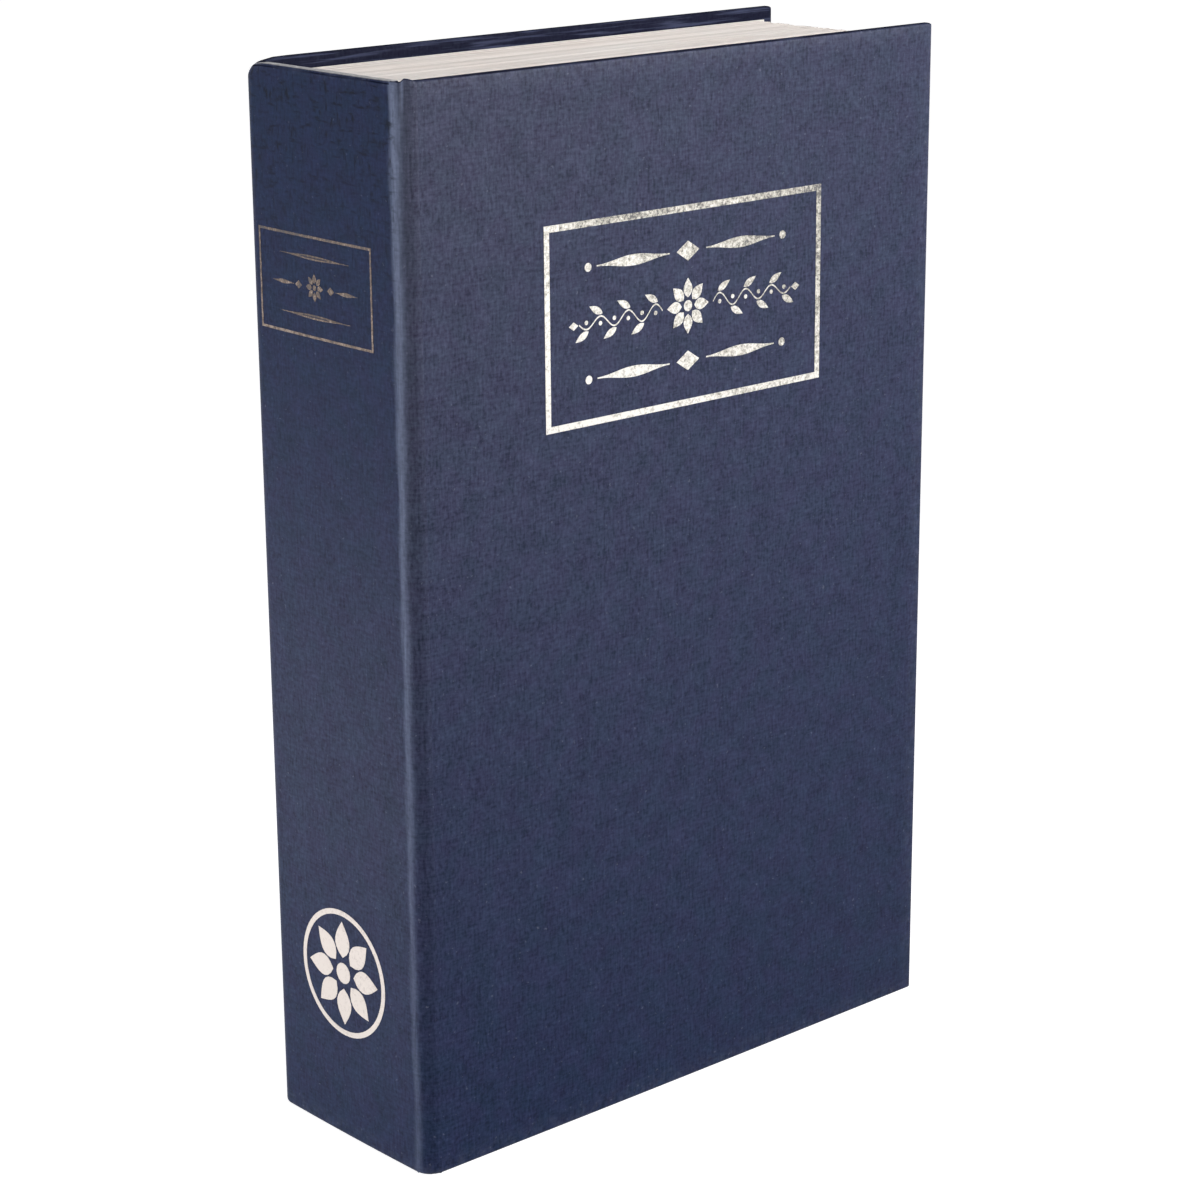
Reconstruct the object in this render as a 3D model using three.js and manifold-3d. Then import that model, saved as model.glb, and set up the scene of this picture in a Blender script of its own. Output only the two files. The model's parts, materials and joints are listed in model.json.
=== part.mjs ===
// A book diversion safe: a cloth-bound case, a block of page sections with a
// window cut through it, and a steel cash box with a hinged, locking lid.
// Millimetres. X runs from the spine to the fore edge, Y from the front cover
// to the back cover, Z up. The origin is under the middle of the closed book.
import * as THREE from 'three';
import { mergeVertices } from 'three/addons/utils/BufferGeometryUtils.js';
import Module from 'manifold-3d';

const wasm = await Module();
wasm.setup();

// Closed book
const HEIGHT = 240;
const WIDTH = 155;
const THICKNESS = 55;

// Case: boards, the cloth folded round them, and the papers pasted inside
const BOARD = 2;
const CLOTH = 0.3;
const TURN_IN = 15;
const JOINT_RADIUS = 4;
const PASTEDOWN = 0.25;
const LINING = 0.5;

// Page block
const SQUARE = 3;
const FORE_SQUARE = 5.5;
const COVER_GAP = 0.3;
const FACE_SHEET = 0.4;
const SECTION_COUNT = 7;
const SECTION_CREST = 1;
const SECTION_GAP = 0.05;
const SPINE_MARGIN = 7.8;
const FORE_MARGIN = 10.4;
const HEAD_MARGIN = 11.4;

// Steel box and lid
const STEEL = 1;
const BOX_CORNER = 3;
const WINDOW_GAP = 1;
const LID_GAP = 0.6;
const LID_RECESS = 2.25;
const SKIRT = 5;
const RIM_GAP = 0.3;

// Mounting tape under the box
const TAPE = 0.5;
const TAPE_WIDTH = 20;
const TAPE_LENGTH = 90;
const TAPE_INSET = 25;

// Lid hinge
const PIN_RADIUS = 1.25;
const PIN_FIT = 0.05;
const PIN_HEAD_RADIUS = 1.9;
const PIN_HEAD = 1;
const HINGE_LENGTH = 150;
const HINGE_GAP = 1.8;
const KNUCKLE_COUNT = 5;
const KNUCKLE_GAP = 0.3;
const CURL_TURN = THREE.MathUtils.degToRad(290);

// Lock housing, its washer and nut
const FLANGE_RADIUS = 9.5;
const FLANGE = 1.6;
const FLANGE_CHAMFER = 0.4;
const BARREL_RADIUS = 8;
const BARREL_FLAT = 7;
const BARREL_LENGTH = 16;
const BARREL_GAP = 0.3;
const WASHER_RADIUS = 11;
const WASHER = 0.8;
const NUT_FLAT = 10;
const NUT = 3;
const NUT_CHAMFER = 0.6;

// Lock plug
const PLUG_RADIUS = 6;
const PLUG_HEAD_RADIUS = 7;
const PLUG_HEAD = 1.3;
const PLUG_INSET = 0.2;
const PLUG_FIT = 0.1;
const KEYWAY_LENGTH = 7;
const KEYWAY_WIDTH = 1.6;
const KEYWAY_DEPTH = 9;
const SHANK = 3;
const SHANK_SHY = 0.2;

// Cam, its washer and screw, and the strike that the cam turns under
const CAM = 1.5;
const CAM_LIFT = 0.1;
const CAM_HUB = 7;
const CAM_ARM = 5.5;
const CAM_REACH = 13.5;
const CAM_GAP = 0.5;
const SCREW_RADIUS = 2;
const SCREW_LENGTH = 7.5;
const SCREW_HEAD_RADIUS = 3.6;
const SCREW_HEAD = 2.2;
const SCREW_SLOT = 0.9;
const SCREW_SLOT_DEPTH = 0.8;
const CAM_WASHER_RADIUS = 4.2;
const CAM_WASHER = 0.9;
const STRIKE = 1.2;
const STRIKE_BEND = 0.5;
const STRIKE_BITE = 3.5;
const STRIKE_HALF = 9;
const STRIKE_LEG = 10;
const STRIKE_GAP = 0.3;

// How far a cutter runs past what it cuts
const OVERRUN = 1;

// Facets of a quarter of a small round, a page crest, a rolled knuckle and a turned piece
const CORNER_STEPS = 4;
const CREST_STEPS = 6;
const CURL_STEPS = 24;
const TURNED_STEPS = 48;

// Finishes
const NAVY_CLOTH = { color: 0x3f465d, roughness: 0.72, metalness: 0 };
const GREYBOARD = { color: 0x8d8779, roughness: 0.95, metalness: 0 };
const PAPER = { color: 0xe6e0d9, roughness: 0.9, metalness: 0 };
const ENDPAPER = { color: 0xefebe4, roughness: 0.9, metalness: 0 };
const BOX_PAINT = { color: 0x24262a, roughness: 0.55, metalness: 0.1 };
const BARE_STEEL = { color: 0xb4b6b8, roughness: 0.35, metalness: 0.9 };
const CHROME = { color: 0xd9dadc, roughness: 0.15, metalness: 1 };
const TAPE_FOAM = { color: 0xcfcabc, roughness: 0.9, metalness: 0 };

// Sides of the closed book
const LEFT = -WIDTH / 2;
const RIGHT = WIDTH / 2;
const FRONT = -THICKNESS / 2;
const BACK = THICKNESS / 2;

// Covers and spine: a board with a layer of cloth on each side
const COVER = CLOTH + BOARD + CLOTH;
const JOINT_X = LEFT + JOINT_RADIUS;
const JOINT_FRONT = FRONT + JOINT_RADIUS;
const JOINT_BACK = BACK - JOINT_RADIUS;

// Page block: its sides, and the window that the box stands in
const PAGE_LEFT = LEFT + COVER + LINING;
const PAGE_CREST = RIGHT - FORE_SQUARE;
const PAGE_RIGHT = PAGE_CREST - SECTION_CREST;
const PAGE_FRONT = FRONT + COVER + PASTEDOWN + COVER_GAP;
const PAGE_BACK = BACK - COVER - PASTEDOWN;
const PAGE_BOTTOM = SQUARE;
const PAGE_TOP = HEIGHT - SQUARE;
const SECTIONS_FRONT = PAGE_FRONT + FACE_SHEET;
const SECTION_PITCH = (PAGE_BACK + SECTION_GAP - SECTIONS_FRONT) / SECTION_COUNT;
const WINDOW_LEFT = PAGE_LEFT + SPINE_MARGIN;
const WINDOW_RIGHT = PAGE_RIGHT - FORE_MARGIN;
const WINDOW_BOTTOM = PAGE_BOTTOM + HEAD_MARGIN;
const WINDOW_TOP = PAGE_TOP - HEAD_MARGIN;

// Hinge: the pin's centre, and the knuckles that are rolled round it
const BORE_RADIUS = PIN_RADIUS + PIN_FIT;
const KNUCKLE_RADIUS = BORE_RADIUS + STEEL;
const PIN_X = WINDOW_LEFT + HINGE_GAP + KNUCKLE_RADIUS;
const LID_FRONT = PAGE_FRONT + LID_RECESS;
const LID_BACK = LID_FRONT + STEEL;
const PIN_Y = LID_FRONT + KNUCKLE_RADIUS;
const HEAD_ROOM = PIN_HEAD + 2 * KNUCKLE_GAP;
const NOTCH_BACK = PIN_Y + KNUCKLE_RADIUS + KNUCKLE_GAP;
const HINGE_BOTTOM = (HEIGHT - HINGE_LENGTH) / 2;
const HINGE_TOP = HINGE_BOTTOM + HINGE_LENGTH;

// Box: its wall stands where the knuckles' outer turn comes down
const LID_REACH = LID_GAP + STEEL;
const BOX_LEFT = PIN_X + BORE_RADIUS;
const BOX_RIGHT = WINDOW_RIGHT - WINDOW_GAP - LID_REACH;
const BOX_BOTTOM = WINDOW_BOTTOM + WINDOW_GAP + LID_REACH;
const BOX_TOP = WINDOW_TOP - WINDOW_GAP - LID_REACH;
const BOX_RIM = LID_BACK + RIM_GAP;
const BOX_BACK = PAGE_BACK - TAPE;
const LID_NOTCH = BOX_LEFT + STEEL + KNUCKLE_GAP;

// Lock: its axis on the lid, and depths measured back from the lid's outer face
const LOCK_X = BOX_RIGHT - STEEL - CAM_GAP - CAM_REACH;
const LOCK_Z = HEIGHT / 2;
const PLUG_FRONT = PLUG_INSET - FLANGE;
const PLUG_SEAT = PLUG_FRONT + PLUG_HEAD;
const CAM_FRONT = BARREL_LENGTH + CAM_LIFT;
const CAM_BACK = CAM_FRONT + CAM;
const SHANK_BACK = CAM_BACK - SHANK_SHY;
const SCREW_SEAT = CAM_BACK + CAM_WASHER;
const LEDGE_X = LOCK_X + CAM_REACH - STRIKE_BITE;
const LEDGE_BACK = LID_FRONT + CAM_FRONT - STRIKE_GAP;

// A closed geometry as a solid that can be joined and cut
function solid(geometry) {
  const bare = geometry.clone();
  bare.deleteAttribute('normal');
  bare.deleteAttribute('uv');
  const merged = mergeVertices(bare);
  const vertProperties = Float32Array.from(merged.attributes.position.array);
  const triVerts = Uint32Array.from(merged.index.array);
  return new wasm.Manifold(new wasm.Mesh({ numProp: 3, vertProperties, triVerts }));
}

// A joined and cut solid as a geometry with flat faces
function geometryOf(body) {
  const mesh = body.getMesh();
  const indexed = new THREE.BufferGeometry();
  indexed.setAttribute('position', new THREE.BufferAttribute(mesh.vertProperties, 3));
  indexed.setIndex(new THREE.BufferAttribute(mesh.triVerts, 1));
  const geometry = indexed.toNonIndexed();
  geometry.computeVertexNormals();
  return geometry;
}

// A block between two opposite corners
function block(from, to) {
  const geometry = new THREE.BoxGeometry(1, 1, 1);
  const position = geometry.attributes.position;
  const low = from.map((value, axis) => Math.min(value, to[axis]));
  const high = from.map((value, axis) => Math.max(value, to[axis]));
  const side = (value, axis) => (value < 0 ? low[axis] : high[axis]);
  for (let i = 0; i < position.count; i += 1) {
    const x = side(position.getX(i), 0);
    const y = side(position.getY(i), 1);
    const z = side(position.getZ(i), 2);
    position.setXYZ(i, x, y, z);
  }
  return geometry;
}

// An outline drawn in x and y, drawn out along z
function alongZ(shape, low, high, steps) {
  const options = { depth: 1, bevelEnabled: false, curveSegments: steps / 2 };
  const geometry = new THREE.ExtrudeGeometry(shape, options);
  const position = geometry.attributes.position;
  for (let i = 0; i < position.count; i += 1) {
    position.setZ(i, position.getZ(i) > 0 ? high : low);
  }
  return geometry;
}

// An outline drawn in x and z, drawn out along y
function alongY(shape, low, high, steps) {
  const options = { depth: 1, bevelEnabled: false, curveSegments: steps / 2 };
  const geometry = new THREE.ExtrudeGeometry(shape, options);
  const position = geometry.attributes.position;
  for (let i = 0; i < position.count; i += 1) {
    const height = position.getY(i);
    position.setXYZ(i, position.getX(i), position.getZ(i) > 0 ? low : high, height);
  }
  return geometry;
}

// A profile of radii and depths turned about an axis along y
function turned(profile) {
  const points = profile.map(([radius, depth]) => new THREE.Vector2(radius, depth));
  return new THREE.LatheGeometry(points, TURNED_STEPS);
}

function roundedRectangle(left, right, bottom, top, radius) {
  const quarter = Math.PI / 2;
  const shape = new THREE.Shape();
  shape.absarc(right - radius, bottom + radius, radius, -quarter, 0);
  shape.absarc(right - radius, top - radius, radius, 0, quarter);
  shape.absarc(left + radius, top - radius, radius, quarter, 2 * quarter);
  shape.absarc(left + radius, bottom + radius, radius, 2 * quarter, 3 * quarter);
  return shape;
}

// A curved strip between two radii about a centre
function ringSector(x, y, inner, outer, start, end) {
  const shape = new THREE.Shape();
  shape.absarc(x, y, outer, start, end, false);
  shape.absarc(x, y, inner, end, start, true);
  return shape;
}

function circle(radius) {
  return new THREE.Shape().absarc(0, 0, radius, 0, 2 * Math.PI);
}

// Covers: depth is measured inward from the outer face, so one function makes both
const FRONT_COVER = { outer: FRONT, inward: 1 };
const BACK_COVER = { outer: BACK, inward: -1 };

function at(cover, depth) {
  return cover.outer + cover.inward * depth;
}

function coverBoard(cover) {
  return block(
    [JOINT_X, at(cover, CLOTH), CLOTH],
    [RIGHT - CLOTH, at(cover, CLOTH + BOARD), HEIGHT - CLOTH],
  );
}

// Cloth over a cover board, turned in at the head, tail and fore edge
function coverCloth(cover) {
  const slab = solid(block([JOINT_X, at(cover, 0), 0], [RIGHT, at(cover, COVER), HEIGHT]));
  const pocket = solid(block(
    [JOINT_X - OVERRUN, at(cover, CLOTH), CLOTH],
    [RIGHT - CLOTH, at(cover, CLOTH + BOARD), HEIGHT - CLOTH],
  ));
  const opening = solid(block(
    [JOINT_X - OVERRUN, at(cover, CLOTH + BOARD / 2), TURN_IN],
    [RIGHT - TURN_IN, at(cover, COVER + OVERRUN), HEIGHT - TURN_IN],
  ));
  return geometryOf(slab.subtract(pocket).subtract(opening));
}

// Endpaper pasted over the turned-in cloth and down onto the board between
function pastedown(cover) {
  const sheet = solid(block(
    [JOINT_X, at(cover, COVER), SQUARE],
    [RIGHT - SQUARE, at(cover, COVER + PASTEDOWN), HEIGHT - SQUARE],
  ));
  const middle = solid(block(
    [JOINT_X, at(cover, CLOTH + BOARD), TURN_IN],
    [RIGHT - TURN_IN, at(cover, COVER + PASTEDOWN), HEIGHT - TURN_IN],
  ));
  return geometryOf(sheet.add(middle));
}

function spineBoard() {
  return block(
    [LEFT + CLOTH, JOINT_FRONT, CLOTH],
    [LEFT + CLOTH + BOARD, JOINT_BACK, HEIGHT - CLOTH],
  );
}

// Cloth over the spine board, turned in at the head and tail
function spineCloth() {
  const slab = solid(block([LEFT, JOINT_FRONT, 0], [LEFT + COVER, JOINT_BACK, HEIGHT]));
  const pocket = solid(block(
    [LEFT + CLOTH, JOINT_FRONT - OVERRUN, CLOTH],
    [LEFT + CLOTH + BOARD, JOINT_BACK + OVERRUN, HEIGHT - CLOTH],
  ));
  const opening = solid(block(
    [LEFT + CLOTH + BOARD / 2, JOINT_FRONT - OVERRUN, TURN_IN],
    [LEFT + COVER + OVERRUN, JOINT_BACK + OVERRUN, HEIGHT - TURN_IN],
  ));
  return geometryOf(slab.subtract(pocket).subtract(opening));
}

// Lining between the spine and the backs of the sections
function spineLining() {
  const sheet = solid(block(
    [LEFT + COVER, JOINT_FRONT, PAGE_BOTTOM],
    [PAGE_LEFT, JOINT_BACK, PAGE_TOP],
  ));
  const middle = solid(block(
    [LEFT + CLOTH + BOARD, JOINT_FRONT, TURN_IN],
    [PAGE_LEFT, JOINT_BACK, HEIGHT - TURN_IN],
  ));
  return geometryOf(sheet.add(middle));
}

// Bare cloth round a joint, doubled by its turn-ins at the head and tail
function jointCloth(centreY, start) {
  const end = start + Math.PI / 2;
  const inner = JOINT_RADIUS - CLOTH;
  const single = ringSector(JOINT_X, centreY, inner, JOINT_RADIUS, start, end);
  const double = ringSector(JOINT_X, centreY, inner - CLOTH, JOINT_RADIUS, start, end);
  const steps = 2 * CORNER_STEPS;
  const strip = solid(alongZ(single, 0, HEIGHT, steps));
  const tail = solid(alongZ(double, 0, TURN_IN, steps));
  const head = solid(alongZ(double, HEIGHT - TURN_IN, HEIGHT, steps));
  return geometryOf(strip.add(tail).add(head));
}

// The window through the pages, as a cutter between two depths
function pageWindow(front, back) {
  return solid(block(
    [WINDOW_LEFT, front - OVERRUN, WINDOW_BOTTOM],
    [WINDOW_RIGHT, back + OVERRUN, WINDOW_TOP],
  ));
}

// One section: a stack of leaves whose fore edge swells between its two ends
function pageSection(index) {
  const front = SECTIONS_FRONT + index * SECTION_PITCH;
  const back = SECTIONS_FRONT + (index + 1) * SECTION_PITCH - SECTION_GAP;
  const half = (back - front) / 2;
  const radius = (half * half + SECTION_CREST * SECTION_CREST) / (2 * SECTION_CREST);
  const swing = Math.asin(half / radius);
  const shape = new THREE.Shape();
  shape.absarc(PAGE_CREST - radius, front + half, radius, -swing, swing, false);
  shape.lineTo(PAGE_LEFT, back);
  shape.lineTo(PAGE_LEFT, front);
  const stack = solid(alongZ(shape, PAGE_BOTTOM, PAGE_TOP, CREST_STEPS));
  return geometryOf(stack.subtract(pageWindow(front, back)));
}

function pageFaceSheet() {
  const sheet = solid(block(
    [PAGE_LEFT, PAGE_FRONT, PAGE_BOTTOM],
    [PAGE_RIGHT, SECTIONS_FRONT, PAGE_TOP],
  ));
  return geometryOf(sheet.subtract(pageWindow(PAGE_FRONT, SECTIONS_FRONT)));
}

// The height at which a knuckle's share of the hinge starts
function knuckleStart(index) {
  return HINGE_BOTTOM + (index * HINGE_LENGTH) / KNUCKLE_COUNT;
}

function isLidKnuckle(index) {
  return index % 2 === 1;
}

function knuckleIndexes(wanted) {
  return Array.from({ length: KNUCKLE_COUNT }, (_, index) => index).filter(wanted);
}

// One rolled knuckle: the strip's outline drawn out over its own share of the hinge
function knuckle(shape, index) {
  const low = knuckleStart(index) + KNUCKLE_GAP / 2;
  const high = knuckleStart(index + 1) - KNUCKLE_GAP / 2;
  return solid(alongZ(shape, low, high, CURL_STEPS));
}

// The box wall's edge rolled outward round the pin
function boxCurl() {
  const shape = new THREE.Shape();
  shape.absarc(PIN_X, PIN_Y, KNUCKLE_RADIUS, 0, -CURL_TURN, true);
  shape.absarc(PIN_X, PIN_Y, BORE_RADIUS, -CURL_TURN, 0, false);
  shape.lineTo(BOX_LEFT, NOTCH_BACK);
  shape.lineTo(BOX_LEFT + STEEL, NOTCH_BACK);
  return shape;
}

// The lid plate's edge rolled inward round the pin
function lidCurl() {
  const start = -Math.PI / 2;
  const shape = new THREE.Shape();
  shape.absarc(PIN_X, PIN_Y, KNUCKLE_RADIUS, start, start - CURL_TURN, true);
  shape.absarc(PIN_X, PIN_Y, BORE_RADIUS, start - CURL_TURN, start, false);
  shape.lineTo(LID_NOTCH + STEEL, LID_BACK);
  shape.lineTo(LID_NOTCH + STEEL, LID_FRONT);
  return shape;
}

// A cutter through the box's hinge wall, from its rim down to a depth
function wallCutter(back, low, high) {
  return solid(block(
    [BOX_LEFT - OVERRUN, BOX_RIM - OVERRUN, low],
    [BOX_LEFT + STEEL + OVERRUN, back, high],
  ));
}

// Box outline grown on all sides
function boxOutline(growth) {
  return roundedRectangle(
    BOX_LEFT - growth,
    BOX_RIGHT + growth,
    BOX_BOTTOM - growth,
    BOX_TOP + growth,
    BOX_CORNER + growth,
  );
}

// Folded steel tray: notched for the lid's knuckles, rolled into its own
function boxBody() {
  const outside = solid(alongY(boxOutline(0), BOX_RIM, BOX_BACK, CORNER_STEPS));
  const inside = solid(alongY(
    boxOutline(-STEEL),
    BOX_RIM - OVERRUN,
    BOX_BACK - STEEL,
    CORNER_STEPS,
  ));
  const halfGap = KNUCKLE_GAP / 2;
  const low = HINGE_BOTTOM - HEAD_ROOM;
  const high = HINGE_TOP + HEAD_ROOM;
  let tray = outside.subtract(inside);
  tray = tray.subtract(wallCutter(PIN_Y, low, high));
  tray = tray.subtract(wallCutter(NOTCH_BACK, low, HINGE_BOTTOM + halfGap));
  tray = tray.subtract(wallCutter(NOTCH_BACK, HINGE_TOP - halfGap, high));
  for (const index of knuckleIndexes(isLidKnuckle)) {
    const from = knuckleStart(index) - halfGap;
    const to = knuckleStart(index + 1) + halfGap;
    tray = tray.subtract(wallCutter(NOTCH_BACK, from, to));
  }
  for (const index of knuckleIndexes((i) => !isLidKnuckle(i))) {
    tray = tray.add(knuckle(boxCurl(), index));
  }
  return geometryOf(tray);
}

// The barrel's outline with its two flats, grown by a clearance
function barrel(clearance, front, back) {
  const round = solid(alongY(circle(BARREL_RADIUS + clearance), front, back, TURNED_STEPS));
  const reach = BARREL_RADIUS + clearance + OVERRUN;
  const flat = BARREL_FLAT + clearance;
  const slab = solid(block([-reach, front, -flat], [reach, back, flat]));
  return round.intersect(slab);
}

// Folded lid: a plate with a skirt on three sides and rolled knuckles on the fourth.
// The skirt stops at the corners beside the hinge, so it clears the box as the lid turns.
function boxLid() {
  const skirtBack = LID_BACK + SKIRT;
  const outside = solid(alongY(boxOutline(LID_REACH), LID_FRONT, skirtBack, CORNER_STEPS));
  const inside = solid(alongY(
    boxOutline(LID_GAP),
    LID_BACK,
    skirtBack + OVERRUN,
    CORNER_STEPS,
  ));
  const hingeSide = solid(block(
    [BOX_LEFT - LID_REACH - OVERRUN, LID_FRONT - OVERRUN, WINDOW_BOTTOM],
    [BOX_LEFT, skirtBack + OVERRUN, WINDOW_TOP],
  ));
  const cornerRelief = solid(block(
    [BOX_LEFT - LID_REACH - OVERRUN, LID_BACK, WINDOW_BOTTOM],
    [BOX_LEFT + BOX_CORNER, skirtBack + OVERRUN, WINDOW_TOP],
  ));
  const hingeNotch = solid(block(
    [BOX_LEFT - OVERRUN, LID_FRONT - OVERRUN, HINGE_BOTTOM - HEAD_ROOM],
    [LID_NOTCH, skirtBack + OVERRUN, HINGE_TOP + HEAD_ROOM],
  ));
  const hole = barrel(BARREL_GAP, LID_FRONT - OVERRUN, LID_BACK + OVERRUN);
  let lid = outside.subtract(inside).subtract(hingeSide);
  lid = lid.subtract(cornerRelief).subtract(hingeNotch);
  lid = lid.subtract(hole.translate([LOCK_X, 0, LOCK_Z]));
  for (const index of knuckleIndexes(isLidKnuckle)) {
    lid = lid.add(knuckle(lidCurl(), index));
  }
  return geometryOf(lid);
}

// Pin with a peened head at each end
function hingePin() {
  const end = HINGE_LENGTH / 2 + KNUCKLE_GAP / 2;
  const dome = PIN_HEAD / 2;
  const profile = [
    [0, -end - PIN_HEAD],
    [PIN_RADIUS, -end - PIN_HEAD],
    [PIN_HEAD_RADIUS, -end - dome],
    [PIN_HEAD_RADIUS, -end],
    [PIN_RADIUS, -end],
    [PIN_RADIUS, end],
    [PIN_HEAD_RADIUS, end],
    [PIN_HEAD_RADIUS, end + dome],
    [PIN_RADIUS, end + PIN_HEAD],
    [0, end + PIN_HEAD],
  ];
  return turned(profile).rotateX(Math.PI / 2);
}

function mountingTape(bottom) {
  const middle = (BOX_LEFT + BOX_RIGHT) / 2;
  return block(
    [middle - TAPE_LENGTH / 2, BOX_BACK, bottom],
    [middle + TAPE_LENGTH / 2, PAGE_BACK, bottom + TAPE_WIDTH],
  );
}

// Bent bracket on the box's fore-edge wall, with a ledge for the cam to turn under
function strikeBracket() {
  const wall = BOX_RIGHT - STEEL;
  const outer = STRIKE_BEND + STRIKE;
  const centreX = wall - outer;
  const centreY = LEDGE_BACK - outer;
  const quarter = Math.PI / 2;
  const shape = new THREE.Shape();
  shape.absarc(centreX, centreY, outer, 0, quarter, false);
  shape.lineTo(LEDGE_X, LEDGE_BACK);
  shape.lineTo(LEDGE_X, LEDGE_BACK - STRIKE);
  shape.absarc(centreX, centreY, STRIKE_BEND, quarter, 0, true);
  shape.lineTo(wall - STRIKE, LEDGE_BACK - STRIKE_LEG);
  shape.lineTo(wall, LEDGE_BACK - STRIKE_LEG);
  return alongZ(shape, LOCK_Z - STRIKE_HALF, LOCK_Z + STRIKE_HALF, CORNER_STEPS);
}

// Lock pieces, drawn about the lock's axis with depth 0 at the lid's outer face
function lockHousing() {
  const headBore = PLUG_HEAD_RADIUS + PLUG_FIT;
  const plugBore = PLUG_RADIUS + PLUG_FIT;
  const seat = PLUG_SEAT + PLUG_FIT;
  const body = solid(turned([
    [headBore, -FLANGE],
    [FLANGE_RADIUS - FLANGE_CHAMFER, -FLANGE],
    [FLANGE_RADIUS, FLANGE_CHAMFER - FLANGE],
    [FLANGE_RADIUS, 0],
    [BARREL_RADIUS, 0],
    [BARREL_RADIUS, BARREL_LENGTH],
    [plugBore, BARREL_LENGTH],
    [plugBore, seat],
    [headBore, seat],
    [headBore, -FLANGE],
  ]));
  const reach = FLANGE_RADIUS + OVERRUN;
  const back = BARREL_LENGTH + OVERRUN;
  const above = solid(block([-reach, 0, BARREL_FLAT], [reach, back, reach]));
  const below = solid(block([-reach, 0, -BARREL_FLAT], [reach, back, -reach]));
  return geometryOf(body.subtract(above).subtract(below));
}

function ring(inner, outer, front, back) {
  return turned([
    [inner, front],
    [outer, front],
    [outer, back],
    [inner, back],
    [inner, front],
  ]);
}

function lockWasher() {
  return ring(BARREL_RADIUS + PLUG_FIT, WASHER_RADIUS, STEEL, STEEL + WASHER);
}

// Six-sided nut with its corners chamfered on both faces
function lockNut() {
  const front = STEEL + WASHER;
  const back = front + NUT;
  const corner = NUT_FLAT / Math.cos(Math.PI / 6);
  const shape = new THREE.Shape();
  for (let i = 0; i < 6; i += 1) {
    const angle = ((i + 0.5) * Math.PI) / 3;
    const x = corner * Math.cos(angle);
    const z = corner * Math.sin(angle);
    if (i === 0) shape.moveTo(x, z);
    else shape.lineTo(x, z);
  }
  const hexagon = solid(alongY(shape, front, back, CORNER_STEPS));
  const turnedBlank = solid(turned([
    [BARREL_RADIUS + PLUG_FIT, front],
    [corner - NUT_CHAMFER, front],
    [corner, front + NUT_CHAMFER],
    [corner, back - NUT_CHAMFER],
    [corner - NUT_CHAMFER, back],
    [BARREL_RADIUS + PLUG_FIT, back],
    [BARREL_RADIUS + PLUG_FIT, front],
  ]));
  return geometryOf(hexagon.intersect(turnedBlank));
}

// Plug with a headed front, a keyway, a square shank and a hole for the screw
function lockPlug() {
  const round = solid(turned([
    [0, PLUG_FRONT],
    [PLUG_HEAD_RADIUS, PLUG_FRONT],
    [PLUG_HEAD_RADIUS, PLUG_SEAT],
    [PLUG_RADIUS, PLUG_SEAT],
    [PLUG_RADIUS, CAM_FRONT],
    [0, CAM_FRONT],
  ]));
  const shank = solid(block(
    [-SHANK, CAM_FRONT - OVERRUN, -SHANK],
    [SHANK, SHANK_BACK, SHANK],
  ));
  const keyway = solid(block(
    [-KEYWAY_LENGTH / 2, PLUG_FRONT - OVERRUN, -KEYWAY_WIDTH / 2],
    [KEYWAY_LENGTH / 2, PLUG_FRONT + KEYWAY_DEPTH, KEYWAY_WIDTH / 2],
  ));
  const holeFront = SCREW_SEAT - SCREW_LENGTH - BARREL_GAP;
  const holeRadius = SCREW_RADIUS + PLUG_FIT;
  const hole = solid(alongY(circle(holeRadius), holeFront, CAM_BACK, CURL_STEPS));
  return geometryOf(round.add(shank).subtract(keyway).subtract(hole));
}

// Cam: a hub with a square hole and an arm that hangs down, its end turned about the axis
function lockCam() {
  const tip = Math.asin(CAM_ARM / CAM_REACH);
  const down = -Math.PI / 2;
  const shape = new THREE.Shape();
  shape.absarc(0, 0, CAM_HUB, 0, Math.PI, false);
  shape.absarc(0, 0, CAM_REACH, down - tip, down + tip, false);
  const side = SHANK + PLUG_FIT;
  const hole = new THREE.Path();
  hole.moveTo(-side, -side);
  hole.lineTo(-side, side);
  hole.lineTo(side, side);
  hole.lineTo(side, -side);
  hole.closePath();
  shape.holes.push(hole);
  return alongY(shape, CAM_FRONT, CAM_BACK, CURL_STEPS / 2);
}

function camWasher() {
  return ring(SCREW_RADIUS + PLUG_FIT, CAM_WASHER_RADIUS, CAM_BACK, SCREW_SEAT);
}

function camScrew() {
  const headBack = SCREW_SEAT + SCREW_HEAD;
  const screw = solid(turned([
    [0, SCREW_SEAT - SCREW_LENGTH],
    [SCREW_RADIUS, SCREW_SEAT - SCREW_LENGTH],
    [SCREW_RADIUS, SCREW_SEAT],
    [SCREW_HEAD_RADIUS, SCREW_SEAT],
    [SCREW_HEAD_RADIUS, SCREW_SEAT + SCREW_HEAD / 2],
    [SCREW_RADIUS, headBack],
    [0, headBack],
  ]));
  const reach = SCREW_HEAD_RADIUS + OVERRUN;
  const slot = solid(block(
    [-reach, headBack - SCREW_SLOT_DEPTH, -SCREW_SLOT / 2],
    [reach, headBack + OVERRUN, SCREW_SLOT / 2],
  ));
  return geometryOf(screw.subtract(slot));
}

function piece(name, geometry, finish) {
  const mesh = new THREE.Mesh(geometry, new THREE.MeshStandardMaterial(finish));
  mesh.name = name;
  return mesh;
}

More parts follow.
